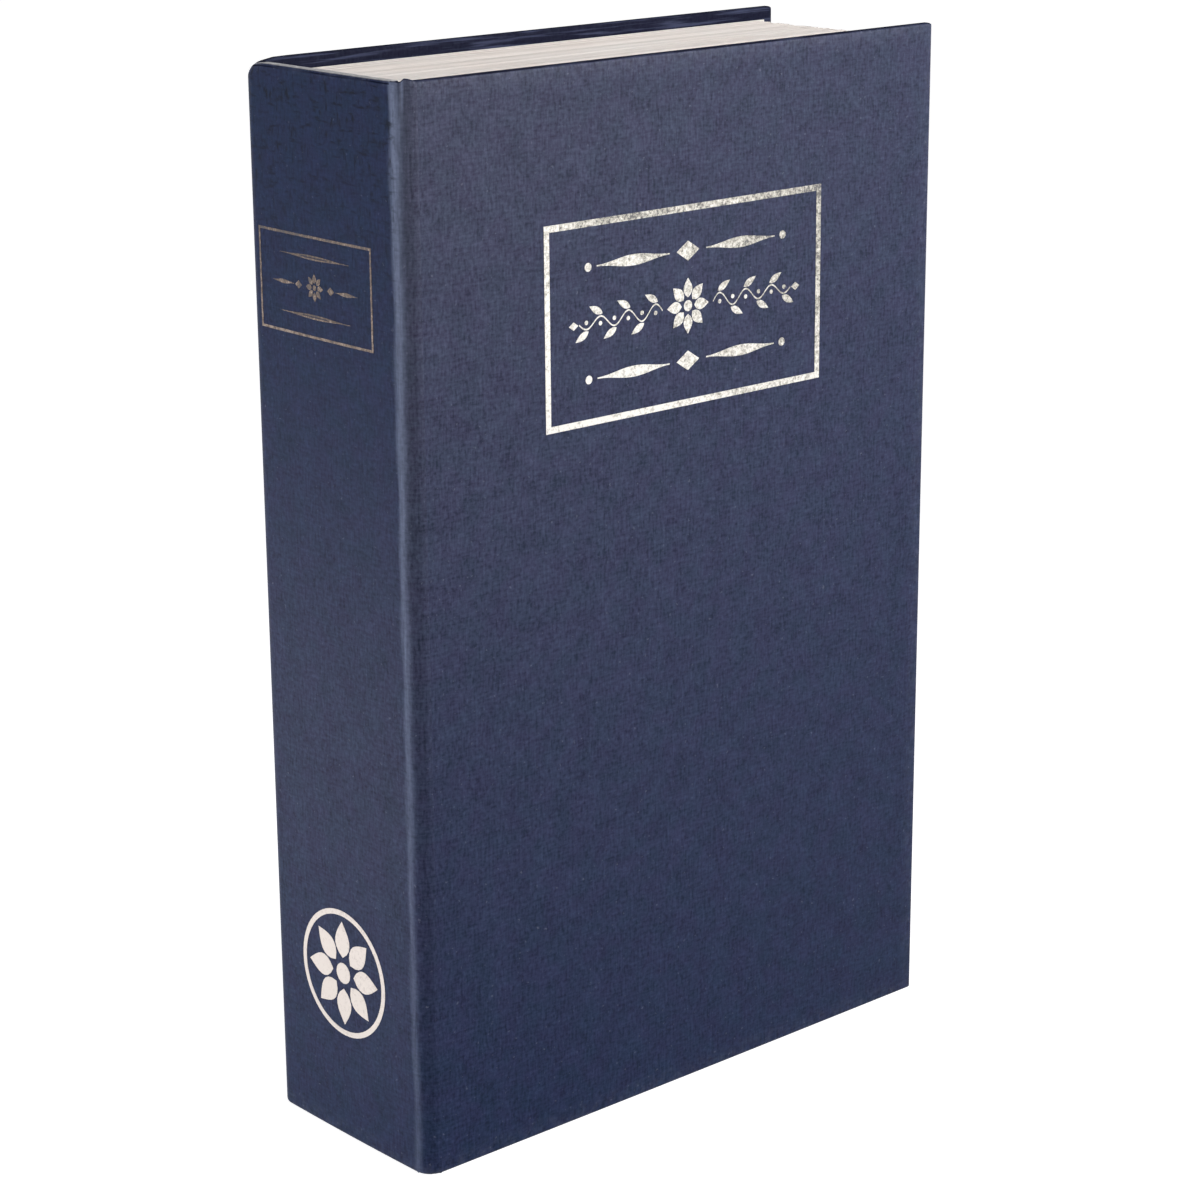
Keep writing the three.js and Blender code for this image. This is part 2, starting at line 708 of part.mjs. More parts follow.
// Case
const frontCover = new THREE.Group();
frontCover.add(
  piece('front_board', coverBoard(FRONT_COVER), GREYBOARD),
  piece('front_cover_cloth', coverCloth(FRONT_COVER), NAVY_CLOTH),
  piece('front_pastedown', pastedown(FRONT_COVER), ENDPAPER),
);
const backAndSpine = new THREE.Group();
backAndSpine.add(
  piece('back_board', coverBoard(BACK_COVER), GREYBOARD),
  piece('back_cover_cloth', coverCloth(BACK_COVER), NAVY_CLOTH),
  piece('back_pastedown', pastedown(BACK_COVER), ENDPAPER),
  piece('spine_board', spineBoard(), GREYBOARD),
  piece('spine_cloth', spineCloth(), NAVY_CLOTH),
  piece('spine_lining', spineLining(), PAPER),
  piece('front_joint_cloth', jointCloth(JOINT_FRONT, Math.PI), NAVY_CLOTH),
  piece('back_joint_cloth', jointCloth(JOINT_BACK, Math.PI / 2), NAVY_CLOTH),
);

// Pages
const pageBlock = new THREE.Group();
pageBlock.add(piece('page_face_sheet', pageFaceSheet(), PAPER));
for (let index = 0; index < SECTION_COUNT; index += 1) {
  pageBlock.add(piece(`page_section_${index + 1}`, pageSection(index), PAPER));
}

// Box
const pin = piece('hinge_pin', hingePin(), BARE_STEEL);
pin.position.set(PIN_X, PIN_Y, HINGE_BOTTOM + HINGE_LENGTH / 2);
const steelBox = new THREE.Group();
steelBox.add(
  piece('box_body', boxBody(), BOX_PAINT),
  piece('strike_bracket', strikeBracket(), BARE_STEEL),
  piece('mounting_tape_tail', mountingTape(BOX_BOTTOM + TAPE_INSET), TAPE_FOAM),
  piece('mounting_tape_head', mountingTape(BOX_TOP - TAPE_INSET - TAPE_WIDTH), TAPE_FOAM),
  pin,
);

// Lock
const lock = new THREE.Group();
lock.position.set(LOCK_X, LID_FRONT, LOCK_Z);
lock.add(
  piece('lock_housing', lockHousing(), CHROME),
  piece('lock_washer', lockWasher(), BARE_STEEL),
  piece('lock_nut', lockNut(), BARE_STEEL),
  piece('lock_plug', lockPlug(), CHROME),
  piece('lock_cam', lockCam(), BARE_STEEL),
  piece('cam_washer', camWasher(), BARE_STEEL),
  piece('cam_screw', camScrew(), BARE_STEEL),
);
const lid = new THREE.Group();
lid.add(piece('box_lid', boxLid(), BOX_PAINT), lock);

const bookSafe = new THREE.Group();
bookSafe.add(frontCover, backAndSpine, pageBlock, steelBox, lid);

export default bookSafe;
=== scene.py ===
import json
import math

import bmesh
import bpy
import numpy as np
from mathutils import Matrix, Vector


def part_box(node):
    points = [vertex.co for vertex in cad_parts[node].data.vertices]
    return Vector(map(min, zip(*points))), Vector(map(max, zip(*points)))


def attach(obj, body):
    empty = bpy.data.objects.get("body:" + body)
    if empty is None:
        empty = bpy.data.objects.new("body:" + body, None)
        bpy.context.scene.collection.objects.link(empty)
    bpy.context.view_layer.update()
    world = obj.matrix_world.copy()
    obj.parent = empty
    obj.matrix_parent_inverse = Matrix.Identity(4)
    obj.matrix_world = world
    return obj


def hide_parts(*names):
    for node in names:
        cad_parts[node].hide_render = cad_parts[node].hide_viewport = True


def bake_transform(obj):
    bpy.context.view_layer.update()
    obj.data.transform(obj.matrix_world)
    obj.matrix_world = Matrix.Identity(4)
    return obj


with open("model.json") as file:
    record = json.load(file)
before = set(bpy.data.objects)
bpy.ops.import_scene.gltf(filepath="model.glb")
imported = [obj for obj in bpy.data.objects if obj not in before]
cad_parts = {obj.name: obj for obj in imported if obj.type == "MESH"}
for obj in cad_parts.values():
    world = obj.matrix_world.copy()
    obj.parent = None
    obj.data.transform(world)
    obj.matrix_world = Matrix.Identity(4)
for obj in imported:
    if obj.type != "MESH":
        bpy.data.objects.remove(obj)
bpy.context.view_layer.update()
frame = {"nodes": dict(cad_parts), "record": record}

MM = 0.001


def corners(node):
    """The lowest and highest corner of a CAD node, as arrays in metres."""
    low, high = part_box(node)
    return np.array(low), np.array(high)


# Places and sizes, taken from the frame
COVER_LOW, COVER_HIGH = corners("front_cover_cloth")
SPINE_LOW, SPINE_HIGH = corners("spine_cloth")
JOINT_LOW, JOINT_HIGH = corners("front_joint_cloth")
HEIGHT = COVER_HIGH[2]
COVER_THICK = COVER_HIGH[1] - COVER_LOW[1]
CLOTH_THICK = corners("front_board")[0][1] - COVER_LOW[1]
JOINT_RADIUS = JOINT_HIGH[0] - JOINT_LOW[0]
JOINT_RUN = JOINT_RADIUS * math.pi / 2
FRONT = COVER_LOW[1]
BACK = corners("back_cover_cloth")[1][1]
LEFT = SPINE_LOW[0]
RIGHT = COVER_HIGH[0]
JOINT_X = COVER_LOW[0]
SPINE_FRONT = SPINE_LOW[1]
SPINE_BACK = SPINE_HIGH[1]

# Cloth over the boards' edges and corners
EDGE_RADIUS = 0.75 * MM
EDGE_STEPS = 4
OUTLINE_CORNER = 0.9 * MM
WEAR_WIDTH = 1.6 * MM
HEAD_FACES = 2

# Distance between a slab's grid lines
GRID = 4 * MM
SPINE_GRID = 3 * MM
JOINT_GRID = 2.5 * MM

# How far a hidden face stays clear of the face of the sheet beside it
CLEAR = 0.02 * MM
CARD_SHY = 0.05 * MM


def linked(name, data):
    """A new object in the scene."""
    made = bpy.data.objects.new(name, data)
    bpy.context.scene.collection.objects.link(made)
    return made


def srgb(red, green, blue):
    """A colour written as 0 to 255, as the linear values that shaders take."""
    channels = []
    for value in (red, green, blue):
        c = value / 255
        channels.append(c / 12.92 if c <= 0.04045 else ((c + 0.055) / 1.055) ** 2.4)
    return (*channels, 1.0)


# Camera, fitted to the corners of the book in the photograph
SENSOR = 36.0
IMAGE_SIZE = 1200
FOCAL_PIXELS = 3124.6
NEAREST = 0.01
CAMERA_PLACE = Vector((-0.46121, -0.51966, 0.31833))
CAMERA_YAW = math.radians(41.498)
CAMERA_PITCH = math.radians(16.591)
CAMERA_ROLL = math.radians(0.400)


def add_camera():
    forward = Vector((
        math.sin(CAMERA_YAW) * math.cos(CAMERA_PITCH),
        math.cos(CAMERA_YAW) * math.cos(CAMERA_PITCH),
        -math.sin(CAMERA_PITCH),
    ))
    level = Vector((math.cos(CAMERA_YAW), -math.sin(CAMERA_YAW), 0))
    above = level.cross(forward)
    turn = Matrix.Rotation(CAMERA_ROLL, 3, forward)
    right = turn @ level
    up = turn @ above
    data = bpy.data.cameras.new("camera")
    data.sensor_width = SENSOR
    data.lens = FOCAL_PIXELS / IMAGE_SIZE * SENSOR
    data.clip_start = NEAREST
    camera = linked("camera", data)
    rotation = Matrix((right, up, -forward)).transposed().to_4x4()
    camera.matrix_world = Matrix.Translation(CAMERA_PLACE) @ rotation
    bpy.context.scene.camera = camera


class Nodes:
    """Short ways to add nodes to a tree."""

    def __init__(self, tree):
        self.tree = tree

    def plug(self, socket, value):
        if isinstance(value, bpy.types.NodeSocket):
            self.tree.links.new(value, socket)
        else:
            socket.default_value = value

    def node(self, kind, inputs, output=0, **settings):
        node = self.tree.nodes.new(f"ShaderNode{kind}")
        for name, value in settings.items():
            setattr(node, name, value)
        for key, value in inputs.items():
            self.plug(node.inputs[key], value)
        return node.outputs[output]

    def attribute(self, name, output="Vector"):
        return self.node("Attribute", {}, output, attribute_name=name)

    def place(self):
        return self.node("TexCoord", {}, "Object")

    def noise(self, vector, scale, detail=3, rough=0.55):
        inputs = {"Vector": vector, "Scale": scale, "Detail": detail, "Roughness": rough}
        return self.node("TexNoise", inputs, "Fac")

    def strewn(self, vector, stretch, detail=3, rough=0.55, scale=1.0):
        """Noise that is drawn out by a stretch along each axis."""
        drawn = self.node("VectorMath", {0: vector, 1: stretch}, 0, operation="MULTIPLY")
        return self.noise(drawn, scale, detail, rough)

    def math(self, operation, first, second=0.0, third=0.0):
        inputs = {0: first, 1: second, 2: third}
        return self.node("Math", inputs, 0, operation=operation)

    def times(self, first, second):
        return self.math("MULTIPLY", first, second)

    def weigh(self, share, first, second):
        """A share of the first value, and the rest of the second."""
        return self.math("MULTIPLY_ADD", first, share, self.times(second, 1 - share))

    def span(self, value, low, high, to_low=0.0, to_high=1.0):
        inputs = {0: value, 1: low, 2: high, 3: to_low, 4: to_high}
        return self.node("MapRange", inputs, 0)

    def mix(self, factor, first, second, blend="MIX"):
        inputs = {"Factor": factor, "A": first, "B": second}
        node = self.tree.nodes.new("ShaderNodeMix")
        node.data_type = "RGBA"
        node.blend_type = blend
        sockets = {s.name: s for s in node.inputs if s.enabled}
        for key, value in inputs.items():
            self.plug(sockets[key], value)
        return [s for s in node.outputs if s.enabled][0]

    def seen(self):
        """1 for a ray from the camera, off a gloss or through a clear thing, and else 0."""
        kinds = ("Camera", "Glossy", "Transmission")
        camera, glossy, clear = (self.node("LightPath", {}, f"Is {kind} Ray") for kind in kinds)
        return self.math("MAXIMUM", self.math("MAXIMUM", camera, glossy), clear)


class Finish(Nodes):
    """A material and its nodes."""

    def __init__(self, name, **values):
        self.material = bpy.data.materials.new(name)
        self.material.use_nodes = True
        super().__init__(self.material.node_tree)
        self.shader = self.tree.nodes["Principled BSDF"]
        for socket, value in values.items():
            self.shader.inputs[socket.replace("_", " ")].default_value = value

    def colour(self, value):
        self.plug(self.shader.inputs["Base Color"], value)

    def rough(self, value):
        self.plug(self.shader.inputs["Roughness"], value)

    def bump(self, height, distance, strength):
        inputs = {"Height": height, "Distance": distance, "Strength": strength}
        self.plug(self.shader.inputs["Normal"], self.node("Bump", inputs, "Normal"))


# Where most of a noise lies, and most of the cloth's weave
SPREAD = (0.3, 0.7)
WEAVE_SPREAD = (0.35, 0.65)

# Book cloth: a fibrous navy cloth, paler where it is rubbed along the edges
NAVY_DEEP = srgb(2, 12, 41)
NAVY_PALE = srgb(47, 62, 99)
NAVY_PURPLE = srgb(32, 34, 72)
NAVY_GREEN = srgb(12, 42, 68)
NAVY_WORN = srgb(118, 122, 142)
NAVY_FOLDED = srgb(20, 21, 36)
# Painted shade: the near-black mixed into the creases
NAVY_CREASE_SHADE = srgb(0, 3, 16)
HEAD_RUBBED = srgb(200, 198, 200)
# Painted light: the pale tone that a lighting gradient mixes into the cloth, lighter towards the
# head
PAINTED_LIGHT_PALE = srgb(190, 181, 184)
# Painted highlight: the light band along the front joint's rounded cloth
JOINT_HIGHLIGHT_PAINT = srgb(130, 141, 170)
FOLDED_SHEEN = srgb(84, 90, 118)

# Waves per millimetre of the cloth's noises, across and up where they are drawn out
GRAIN = 1.2
CLOUDS = 0.14
SPECKS = 0.9
RUBBED_SPOTS = 0.45
HEAD_SPOTS = 0.5
UPRIGHT_FIBRES = (1.8, 0.32, 1)
LEVEL_FIBRES = (0.3, 1.7, 1)
PATCHES = (0.15, 0.11, 1)
HIGHLIGHT_STREAKS = (1.8, 0.1, 1)
TALL_FOLDS = (0.8, 0.28, 1)
WIDE_FOLDS = (0.25, 0.75, 1)
FOLDED_GLOSS = (0.05, 1.1, 1)

# Shares of one noise in the next, and how far each effect goes
LEVEL_SHARE = 0.4
GRAIN_SHARE = 0.38
PATCH_SWING = 0.065
TINT_SHARE = 0.3
SPECK_SHARE = 0.3
MOST_PAINTED_LIGHT = 0.075
WORN_SHARE = 0.4
LEAST_THREAD = 0.7
THREAD_SWING = 0.35
CREASED_PALE = 0.14
CREASE_SHADE = 0.75
CREASE_HEIGHT = -0.4
FOLDED_SHARE = 0.8
SHEEN_SHARE = 0.5


def cloth_finish(name, folded=False):
    """Book cloth. Folded round an edge or turned in, it is darker and duller."""
    finish = Finish(name, Specular_IOR_Level=0.0 if folded else 0.08)
    along = finish.attribute("cloth")
    upright = finish.strewn(along, UPRIGHT_FIBRES)
    level = finish.strewn(along, LEVEL_FIBRES)
    fibres = finish.weigh(LEVEL_SHARE, level, upright)
    weave = finish.weigh(GRAIN_SHARE, finish.noise(along, GRAIN), fibres)
    patches = finish.strewn(along, PATCHES, rough=0.75)
    swing = finish.span(patches, 0.2, 0.8, -PATCH_SWING, PATCH_SWING)
    weave = finish.math("ADD", weave, swing)
    tone = finish.mix(finish.span(weave, 0.38, 0.7), NAVY_DEEP, NAVY_PALE)
    clouds = finish.span(finish.noise(along, CLOUDS, rough=0.6), 0.38, 0.62)
    tone = finish.mix(TINT_SHARE, tone, finish.mix(clouds, NAVY_PURPLE, NAVY_GREEN))
    specks = finish.span(finish.noise(along, SPECKS, detail=2), 0.68, 0.74)
    tone = finish.mix(finish.times(specks, SPECK_SHARE), tone, NAVY_WORN)
    # Painted light: a lighting gradient mixed into the colour, paler towards the front cover's head
    # and joint and around the spine's middle
    uneven = finish.span(weave, *WEAVE_SPREAD, 0.5 * MOST_PAINTED_LIGHT, 1.5 * MOST_PAINTED_LIGHT)
    painted_light = finish.times(finish.attribute("painted_light", "Fac"), uneven)
    tone = finish.mix(painted_light, tone, PAINTED_LIGHT_PALE)
    wear = finish.attribute("wear", "Fac")
    rubbed = finish.span(finish.noise(along, RUBBED_SPOTS, detail=4, rough=0.7), 0.46, 0.72)
    worn = finish.times(finish.math("MINIMUM", wear, 1.0), rubbed)
    tone = finish.mix(finish.times(worn, WORN_SHARE), tone, NAVY_WORN)
    # Painted highlight: a streaky light band where light falls on the front joint's rounded cloth
    threads = finish.span(weave, *WEAVE_SPREAD)
    threads = finish.math("MULTIPLY_ADD", threads, THREAD_SWING, LEAST_THREAD)
    streaks = finish.span(finish.strewn(along, HIGHLIGHT_STREAKS), *SPREAD, 0.6, 1.15)
    highlighted = finish.times(finish.attribute("painted_highlight", "Fac"), finish.times(streaks, threads))
    tone = finish.mix(highlighted, tone, JOINT_HIGHLIGHT_PAINT)
    creased = finish.attribute("creased", "Fac")
    tall_folds = finish.strewn(along, TALL_FOLDS, detail=2)
    wide_folds = finish.strewn(along, WIDE_FOLDS, detail=2)
    folds = finish.math("MINIMUM", tall_folds, wide_folds)
    # The creases' bump is relief; the darkening in them is painted shade, and the creased cloth
    # between them is paler
    creases = finish.times(finish.span(folds, 0.3, 0.44, 1.0, 0.0), creased)
    tone = finish.mix(finish.times(creased, CREASED_PALE), tone, NAVY_PALE)
    tone = finish.mix(finish.times(creases, CREASE_SHADE), tone, NAVY_CREASE_SHADE)
    if folded:
        tone = finish.mix(FOLDED_SHARE, tone, NAVY_FOLDED)
        gloss = finish.strewn(along, FOLDED_GLOSS, rough=0.6)
        tone = finish.mix(finish.span(gloss, 0.5, 0.66, 0, SHEEN_SHARE), tone, FOLDED_SHEEN)
    head = finish.span(wear, 1.0, 2.0)
    patchy = finish.span(finish.noise(along, HEAD_SPOTS, rough=0.7), 0.3, 0.6, 0.55, 1.0)
    finish.colour(finish.mix(finish.times(head, patchy), tone, HEAD_RUBBED))
    finish.rough(finish.span(weave, *WEAVE_SPREAD, 0.44, 0.6))
    relief = finish.math("MULTIPLY_ADD", creases, CREASE_HEIGHT, weave)
    finish.bump(relief, distance=0.09 * MM, strength=0.8)
    return finish.material


# Paper and board. Their noises count waves per metre
PAPER_EDGE = srgb(222, 216, 212)
PAPER_SHADE = srgb(200, 195, 191)
PAPER_WARM = srgb(255, 249, 246)
PAPER_COOL = srgb(250, 252, 253)
LEAF_LINES = (8, 2600, 8)
ENDPAPER_WHITE = srgb(234, 230, 223)
ENDPAPER_SHADE = srgb(230, 225, 217)
ENDPAPER_FIBRE = srgb(210, 203, 192)
BOARD_DARK = srgb(120, 113, 100)
BOARD_PALE = srgb(165, 158, 144)


def page_finish():
    finish = Finish("page_paper", Specular_IOR_Level=0.2)
    place = finish.place()
    leaves = finish.strewn(place, LEAF_LINES, rough=0.7)
    tone = finish.mix(finish.span(leaves, 0.34, 0.6), PAPER_SHADE, PAPER_EDGE)
    clouds = finish.span(finish.noise(place, scale=45), *SPREAD)
    tint = finish.mix(clouds, PAPER_WARM, PAPER_COOL)
    finish.colour(finish.mix(0.6, tone, tint, "MULTIPLY"))
    finish.rough(0.88)
    finish.bump(leaves, distance=0.06 * MM, strength=0.5)
    return finish.material


def endpaper_finish():
    finish = Finish("endpaper", Specular_IOR_Level=0.25)
    place = finish.place()
    fibre = finish.noise(place, scale=900, detail=5, rough=0.7)
    clouds = finish.span(finish.noise(place, scale=28), *SPREAD)
    tone = finish.mix(clouds, ENDPAPER_WHITE, ENDPAPER_SHADE)
    finish.colour(finish.mix(finish.span(fibre, *SPREAD, 0, 0.25), tone, ENDPAPER_FIBRE))
    finish.rough(0.85)
    finish.bump(fibre, distance=0.03 * MM, strength=0.5)
    return finish.material


def board_finish():
    finish = Finish("greyboard", Specular_IOR_Level=0.2)
    pulp = finish.noise(finish.place(), scale=1400, detail=5, rough=0.75)
    finish.colour(finish.mix(finish.span(pulp, *SPREAD), BOARD_DARK, BOARD_PALE))
    finish.rough(0.95)
    finish.bump(pulp, distance=0.08 * MM, strength=0.7)
    return finish.material


# Foil: the cloth's dark colour where it is rubbed off, and how much that varies over a face
FOIL_GONE = srgb(66, 66, 74)
FOIL_SWING = 0.12
DRIFT_SHARE = 0.3


def foil_finish(name, bright, dull, low, high, towards=(0, 0, 1)):
    """Stamped metal foil: mottled, and rubbed more the further it lies in a direction."""
    finish = Finish(name, Metallic=0.55, Specular_IOR_Level=0.5)
    place = finish.place()
    along = finish.node("VectorMath", {0: place, 1: towards}, "Value", operation="DOT_PRODUCT")
    further = finish.span(along, low, high, -FOIL_SWING, FOIL_SWING)
    drift = finish.noise(place, scale=45)
    mottle = finish.noise(place, scale=1100, detail=4, rough=0.8)
    rubbed = finish.math("ADD", mottle, further)
    rubbed = finish.math("MULTIPLY_ADD", drift, DRIFT_SHARE, rubbed)
    tone = finish.mix(finish.span(rubbed, 0.55, 0.72), bright, dull)
    finish.colour(finish.mix(finish.span(rubbed, 0.74, 0.82, 0, 0.8), tone, FOIL_GONE))
    finish.rough(finish.span(mottle, *SPREAD, 0.35, 0.55))
    finish.bump(mottle, distance=0.03 * MM, strength=0.5)
    return finish.material


def metal_finish(name, colour, dull, rough, brushed=(1, 1, 1)):
    """Plated or bare metal, with fine marks drawn out along one axis."""
    finish = Finish(name, Metallic=1.0)
    place = finish.place()
    marks = finish.strewn(place, brushed, detail=4, rough=0.65, scale=900)
    stains = finish.noise(place, scale=70)
    tone = finish.mix(finish.span(stains, 0.35, 0.7, 0, 0.5), colour, dull)
    finish.colour(finish.mix(finish.span(marks, 0.45, 0.75, 0, 0.3), tone, dull))
    finish.rough(finish.span(marks, *SPREAD, rough - 0.05, rough + 0.1))
    finish.bump(marks, distance=0.015 * MM, strength=0.4)
    return finish.material


COAT_DARK = srgb(34, 36, 39)
COAT_PALE = srgb(44, 46, 49)
COAT_GRAIN = srgb(66, 68, 71)
COAT_GRAIN_SHARE = 0.45


def powder_coat_finish():
    """Black powder coat, with the skin's fine orange-peel grain."""
    finish = Finish("black_powder_coat", Specular_IOR_Level=0.45)
    place = finish.place()
    grain = finish.noise(place, scale=1300, detail=2, rough=0.5)
    peel = finish.noise(place, scale=420, detail=2, rough=0.5)
    clouds = finish.span(finish.noise(place, scale=30), *SPREAD)
    tone = finish.mix(clouds, COAT_DARK, COAT_PALE)
    finish.colour(finish.mix(finish.span(grain, 0.6, 0.75, 0, 0.5), tone, COAT_GRAIN))
    finish.rough(finish.span(peel, *SPREAD, 0.42, 0.56))
    height = finish.weigh(COAT_GRAIN_SHARE, grain, peel)
    finish.bump(height, distance=0.08 * MM, strength=0.8)
    return finish.material


TAPE_PALE = srgb(214, 204, 176)
TAPE_DARK = srgb(196, 184, 152)
TAPE_WRINKLES = (60, 1, 260)


def tape_finish():
    """Double-sided tape: its creamy carrier, with faint wrinkles."""
    finish = Finish("mounting_tape", Specular_IOR_Level=0.4)
    wrinkles = finish.strewn(finish.place(), TAPE_WRINKLES, rough=0.6)
    finish.colour(finish.mix(finish.span(wrinkles, *SPREAD), TAPE_PALE, TAPE_DARK))
    finish.rough(0.5)
    finish.bump(wrinkles, distance=0.1 * MM, strength=0.5)
    return finish.material


def mesh_object(name, points, faces, materials, smooth_degrees=35):
    """A mesh whose faces point out, smooth but for edges sharper than an angle."""
    mesh = bpy.data.meshes.new(name)
    mesh.from_pydata([tuple(p) for p in points], [], [tuple(f) for f in faces])
    work = bmesh.new()
    work.from_mesh(mesh)
    bmesh.ops.recalc_face_normals(work, faces=work.faces)
    for face in work.faces:
        face.smooth = True
    work.to_mesh(mesh)
    work.free()
    mesh.set_sharp_from_angle(angle=math.radians(smooth_degrees))
    for material in materials:
        mesh.materials.append(material)
    return linked(name, mesh)


def keep_attribute(piece, name, values):
    """Stores a number or a vector for each vertex, for the materials to read."""
    values = np.asarray(values, np.float32)
    kind = "FLOAT" if values.ndim == 1 else "FLOAT_VECTOR"
    attribute = piece.data.attributes.new(name, kind, "POINT")
    attribute.data.foreach_set("value" if kind == "FLOAT" else "vector", values.ravel())


def keep_on_both(piece, name, values):
    """Stores the same numbers for a slab's outer and inner face."""
    keep_attribute(piece, name, np.tile(values.ravel(), 2))


def keep_outside(piece, name, values):
    """Stores numbers for a slab's outer face, and 0 for the inner one."""
    keep_attribute(piece, name, np.concatenate([values.ravel(), np.zeros(values.size)]))


def stops(low, high, spacing, round_low, round_high):
    """Grid lines between two ends, set close together over each rounded end."""
    turn = np.linspace(0, math.pi / 2, EDGE_STEPS + 1)
    close = EDGE_RADIUS * (1 - np.cos(turn))
    begin = low + close if round_low else np.array([low])
    finish = high - close[::-1] if round_high else np.array([high])
    count = max(2, int(round((finish[0] - begin[-1]) / spacing)) + 1)
    middle = np.linspace(begin[-1], finish[0], count)[1:-1]
    return np.concatenate([begin, middle, finish])


def inset(distance):
    """How far a face draws in at a distance from a rounded edge."""
    short = np.clip(EDGE_RADIUS - distance, 0, EDGE_RADIUS)
    return EDGE_RADIUS - np.sqrt(EDGE_RADIUS**2 - short**2)


def bell(value, middle, width):
    """1 at the middle, and less and less beyond the width."""
    return np.exp(-(((value - middle) / width) ** 2))


def arch(share):
    """Rises from 0 at both ends of a run to 1 halfway."""
    return 4 * share * (1 - share)


def wandering(z, waves):
    """Two waves along a height times each other, between -1 and 1."""
    first, second, shift = waves
    return np.sin(z / (first * MM)) * np.sin(z / (second * MM) + shift)


# How much painted light pales the cover's cloth at its tail and head, and what the fore edge adds
# or takes: a lighting gradient put into the colour
TAIL_PAINTED_LIGHT = 0.12
TAIL_EDGE_PAINTED_LIGHT = 0.12
HEAD_PAINTED_LIGHT = 0.95
HEAD_EDGE_LESS = 0.3

# The painted light on the spine: palest around this height, over this reach, and darker towards the
# head
SPINE_LIGHT_MIDDLE = 90 * MM
SPINE_LIGHT_REACH = 85 * MM
SPINE_PAINTED_LIGHT = 0.6

CREASED_REACH = 45 * MM

# The painted highlight along the front joint, where light falls on its rounded cloth: at the tail,
# and how much more at the head
BAND_MIDDLE = (0.08, 0.1)
BAND_WIDTH = (0.16, 0.12)
BAND_STRENGTH = (0.3, 0.7)
BAND_WANDER = 0.05
BAND_WAVES = (8, 19, 0.7)


def painted_light_front(x, z):
    """How much painted light pales the front cover's cloth: most near the head and the joint."""
    across = (x - JOINT_X) / (RIGHT - JOINT_X)
    upward = z / HEIGHT
    at_tail = TAIL_PAINTED_LIGHT + TAIL_EDGE_PAINTED_LIGHT * across * (1 - upward)
    return at_tail + upward * (HEAD_PAINTED_LIGHT - HEAD_EDGE_LESS * across)


def painted_light_spine(z):
    """The same painted light for the spine: most around a middle height, darker towards the head.
    """
    return SPINE_PAINTED_LIGHT * bell(z, SPINE_LIGHT_MIDDLE, SPINE_LIGHT_REACH)


def creased_head(z):
    """How creased the spine's cloth is: most at the head, where the book is pulled."""
    return bell(HEIGHT - z, 0, CREASED_REACH)


def joint_highlight(share, z):
    """The painted highlight band along the front joint's rounded cloth."""
    upward = (z / HEIGHT) ** 2
    middle, width, strength = (
        tail + more * upward for tail, more in (BAND_MIDDLE, BAND_WIDTH, BAND_STRENGTH)
    )
    return bell(share, middle + BAND_WANDER * wandering(z, BAND_WAVES), width) * strength


def two_sided(name, outer, inner, materials, cloth, wear, folded, inside=1, first_wall=1):
    """A closed slab between two grids of points, with the cloth's own coordinates."""
    # inside and first_wall number the materials of the inner face and the first row's wall
    rows, columns = outer.shape[:2]
    count = rows * columns
    points = np.concatenate([outer.reshape(-1, 3), inner.reshape(-1, 3)])
    index = np.arange(count).reshape(rows, columns)
    faces = []
    for side in (index, index + count):
        quads = [side[:-1, :-1], side[1:, :-1], side[1:, 1:], side[:-1, 1:]]
        faces += list(np.stack(quads, -1).reshape(-1, 4))
    border = np.concatenate([
        index[:, 0], index[-1, 1:], index[-2::-1, -1], index[0, -2:0:-1],
    ])
    following = np.roll(border, -1)
    faces += list(np.stack([border, following, following + count, border + count], -1))
    piece = mesh_object(name, points, faces, materials)
    walls = np.ones(len(border), int)
    on_first = (border < columns) & (following < columns)
    nearer = np.minimum(border, following)[on_first]
    walls[on_first] = np.broadcast_to(first_wall, columns - 1)[nearer]
    inside = np.broadcast_to(inside, (rows - 1, columns - 1)).ravel()
    indexes = np.concatenate([folded.astype(int).ravel(), inside, walls])
    piece.data.polygons.foreach_set("material_index", indexes.astype(np.int32))
    around = cloth.reshape(-1, 2) / MM
    flat = np.column_stack([around, np.zeros(count)])
    turned_in = flat + [COVER_THICK / MM, COVER_THICK / MM, 0]
    keep_attribute(piece, "cloth", np.concatenate([flat, turned_in]))
    keep_on_both(piece, "wear", wear)
    return piece


def papered(heights):
    """Material numbers between neighbouring heights: the endpaper's where it covers."""
    low, high = corners("front_pastedown")
    covered = (heights[:-1] > low[2] - MM / 2) & (heights[1:] < high[2] + MM / 2)
    return np.where(covered, 2, 1)


def head_faces(grid, along_from=0):
    """Marks the faces of a grid that turn over the head edge."""
    marked = np.zeros((grid.shape[0] - 1, grid.shape[1] - 1), bool)
    marked[along_from:, -HEAD_FACES:] = True
    return marked


def rounded_outline(along, up, high, bottom, top):
    """Moves the grid's points near the two corners at the high end onto round corners."""
    along, up = along.copy(), up.copy()
    for end, sign in ((bottom, -1), (top, 1)):
        u = (along - (high - OUTLINE_CORNER)) / OUTLINE_CORNER
        v = sign * (up - (end - sign * OUTLINE_CORNER)) / OUTLINE_CORNER
        near = (u > 0) & (v > 0)
        round_u = u * np.sqrt(np.maximum(1 - v**2 / 2, 0))
        round_v = v * np.sqrt(np.maximum(1 - u**2 / 2, 0))
        along = np.where(near, high - OUTLINE_CORNER + round_u * OUTLINE_CORNER, along)
        shifted = end - sign * OUTLINE_CORNER + sign * round_v * OUTLINE_CORNER
        up = np.where(near, shifted, up)
    return along, up


# The front cover bows out a little, with a slow ripple in it
COVER_BOW = 0.35 * MM
BOW_AT_ENDS = 0.65
RIPPLE = 0.04 * MM
RIPPLE_ACROSS = (19 * MM, 2.1)
RIPPLE_UP = (31 * MM, 0.4)


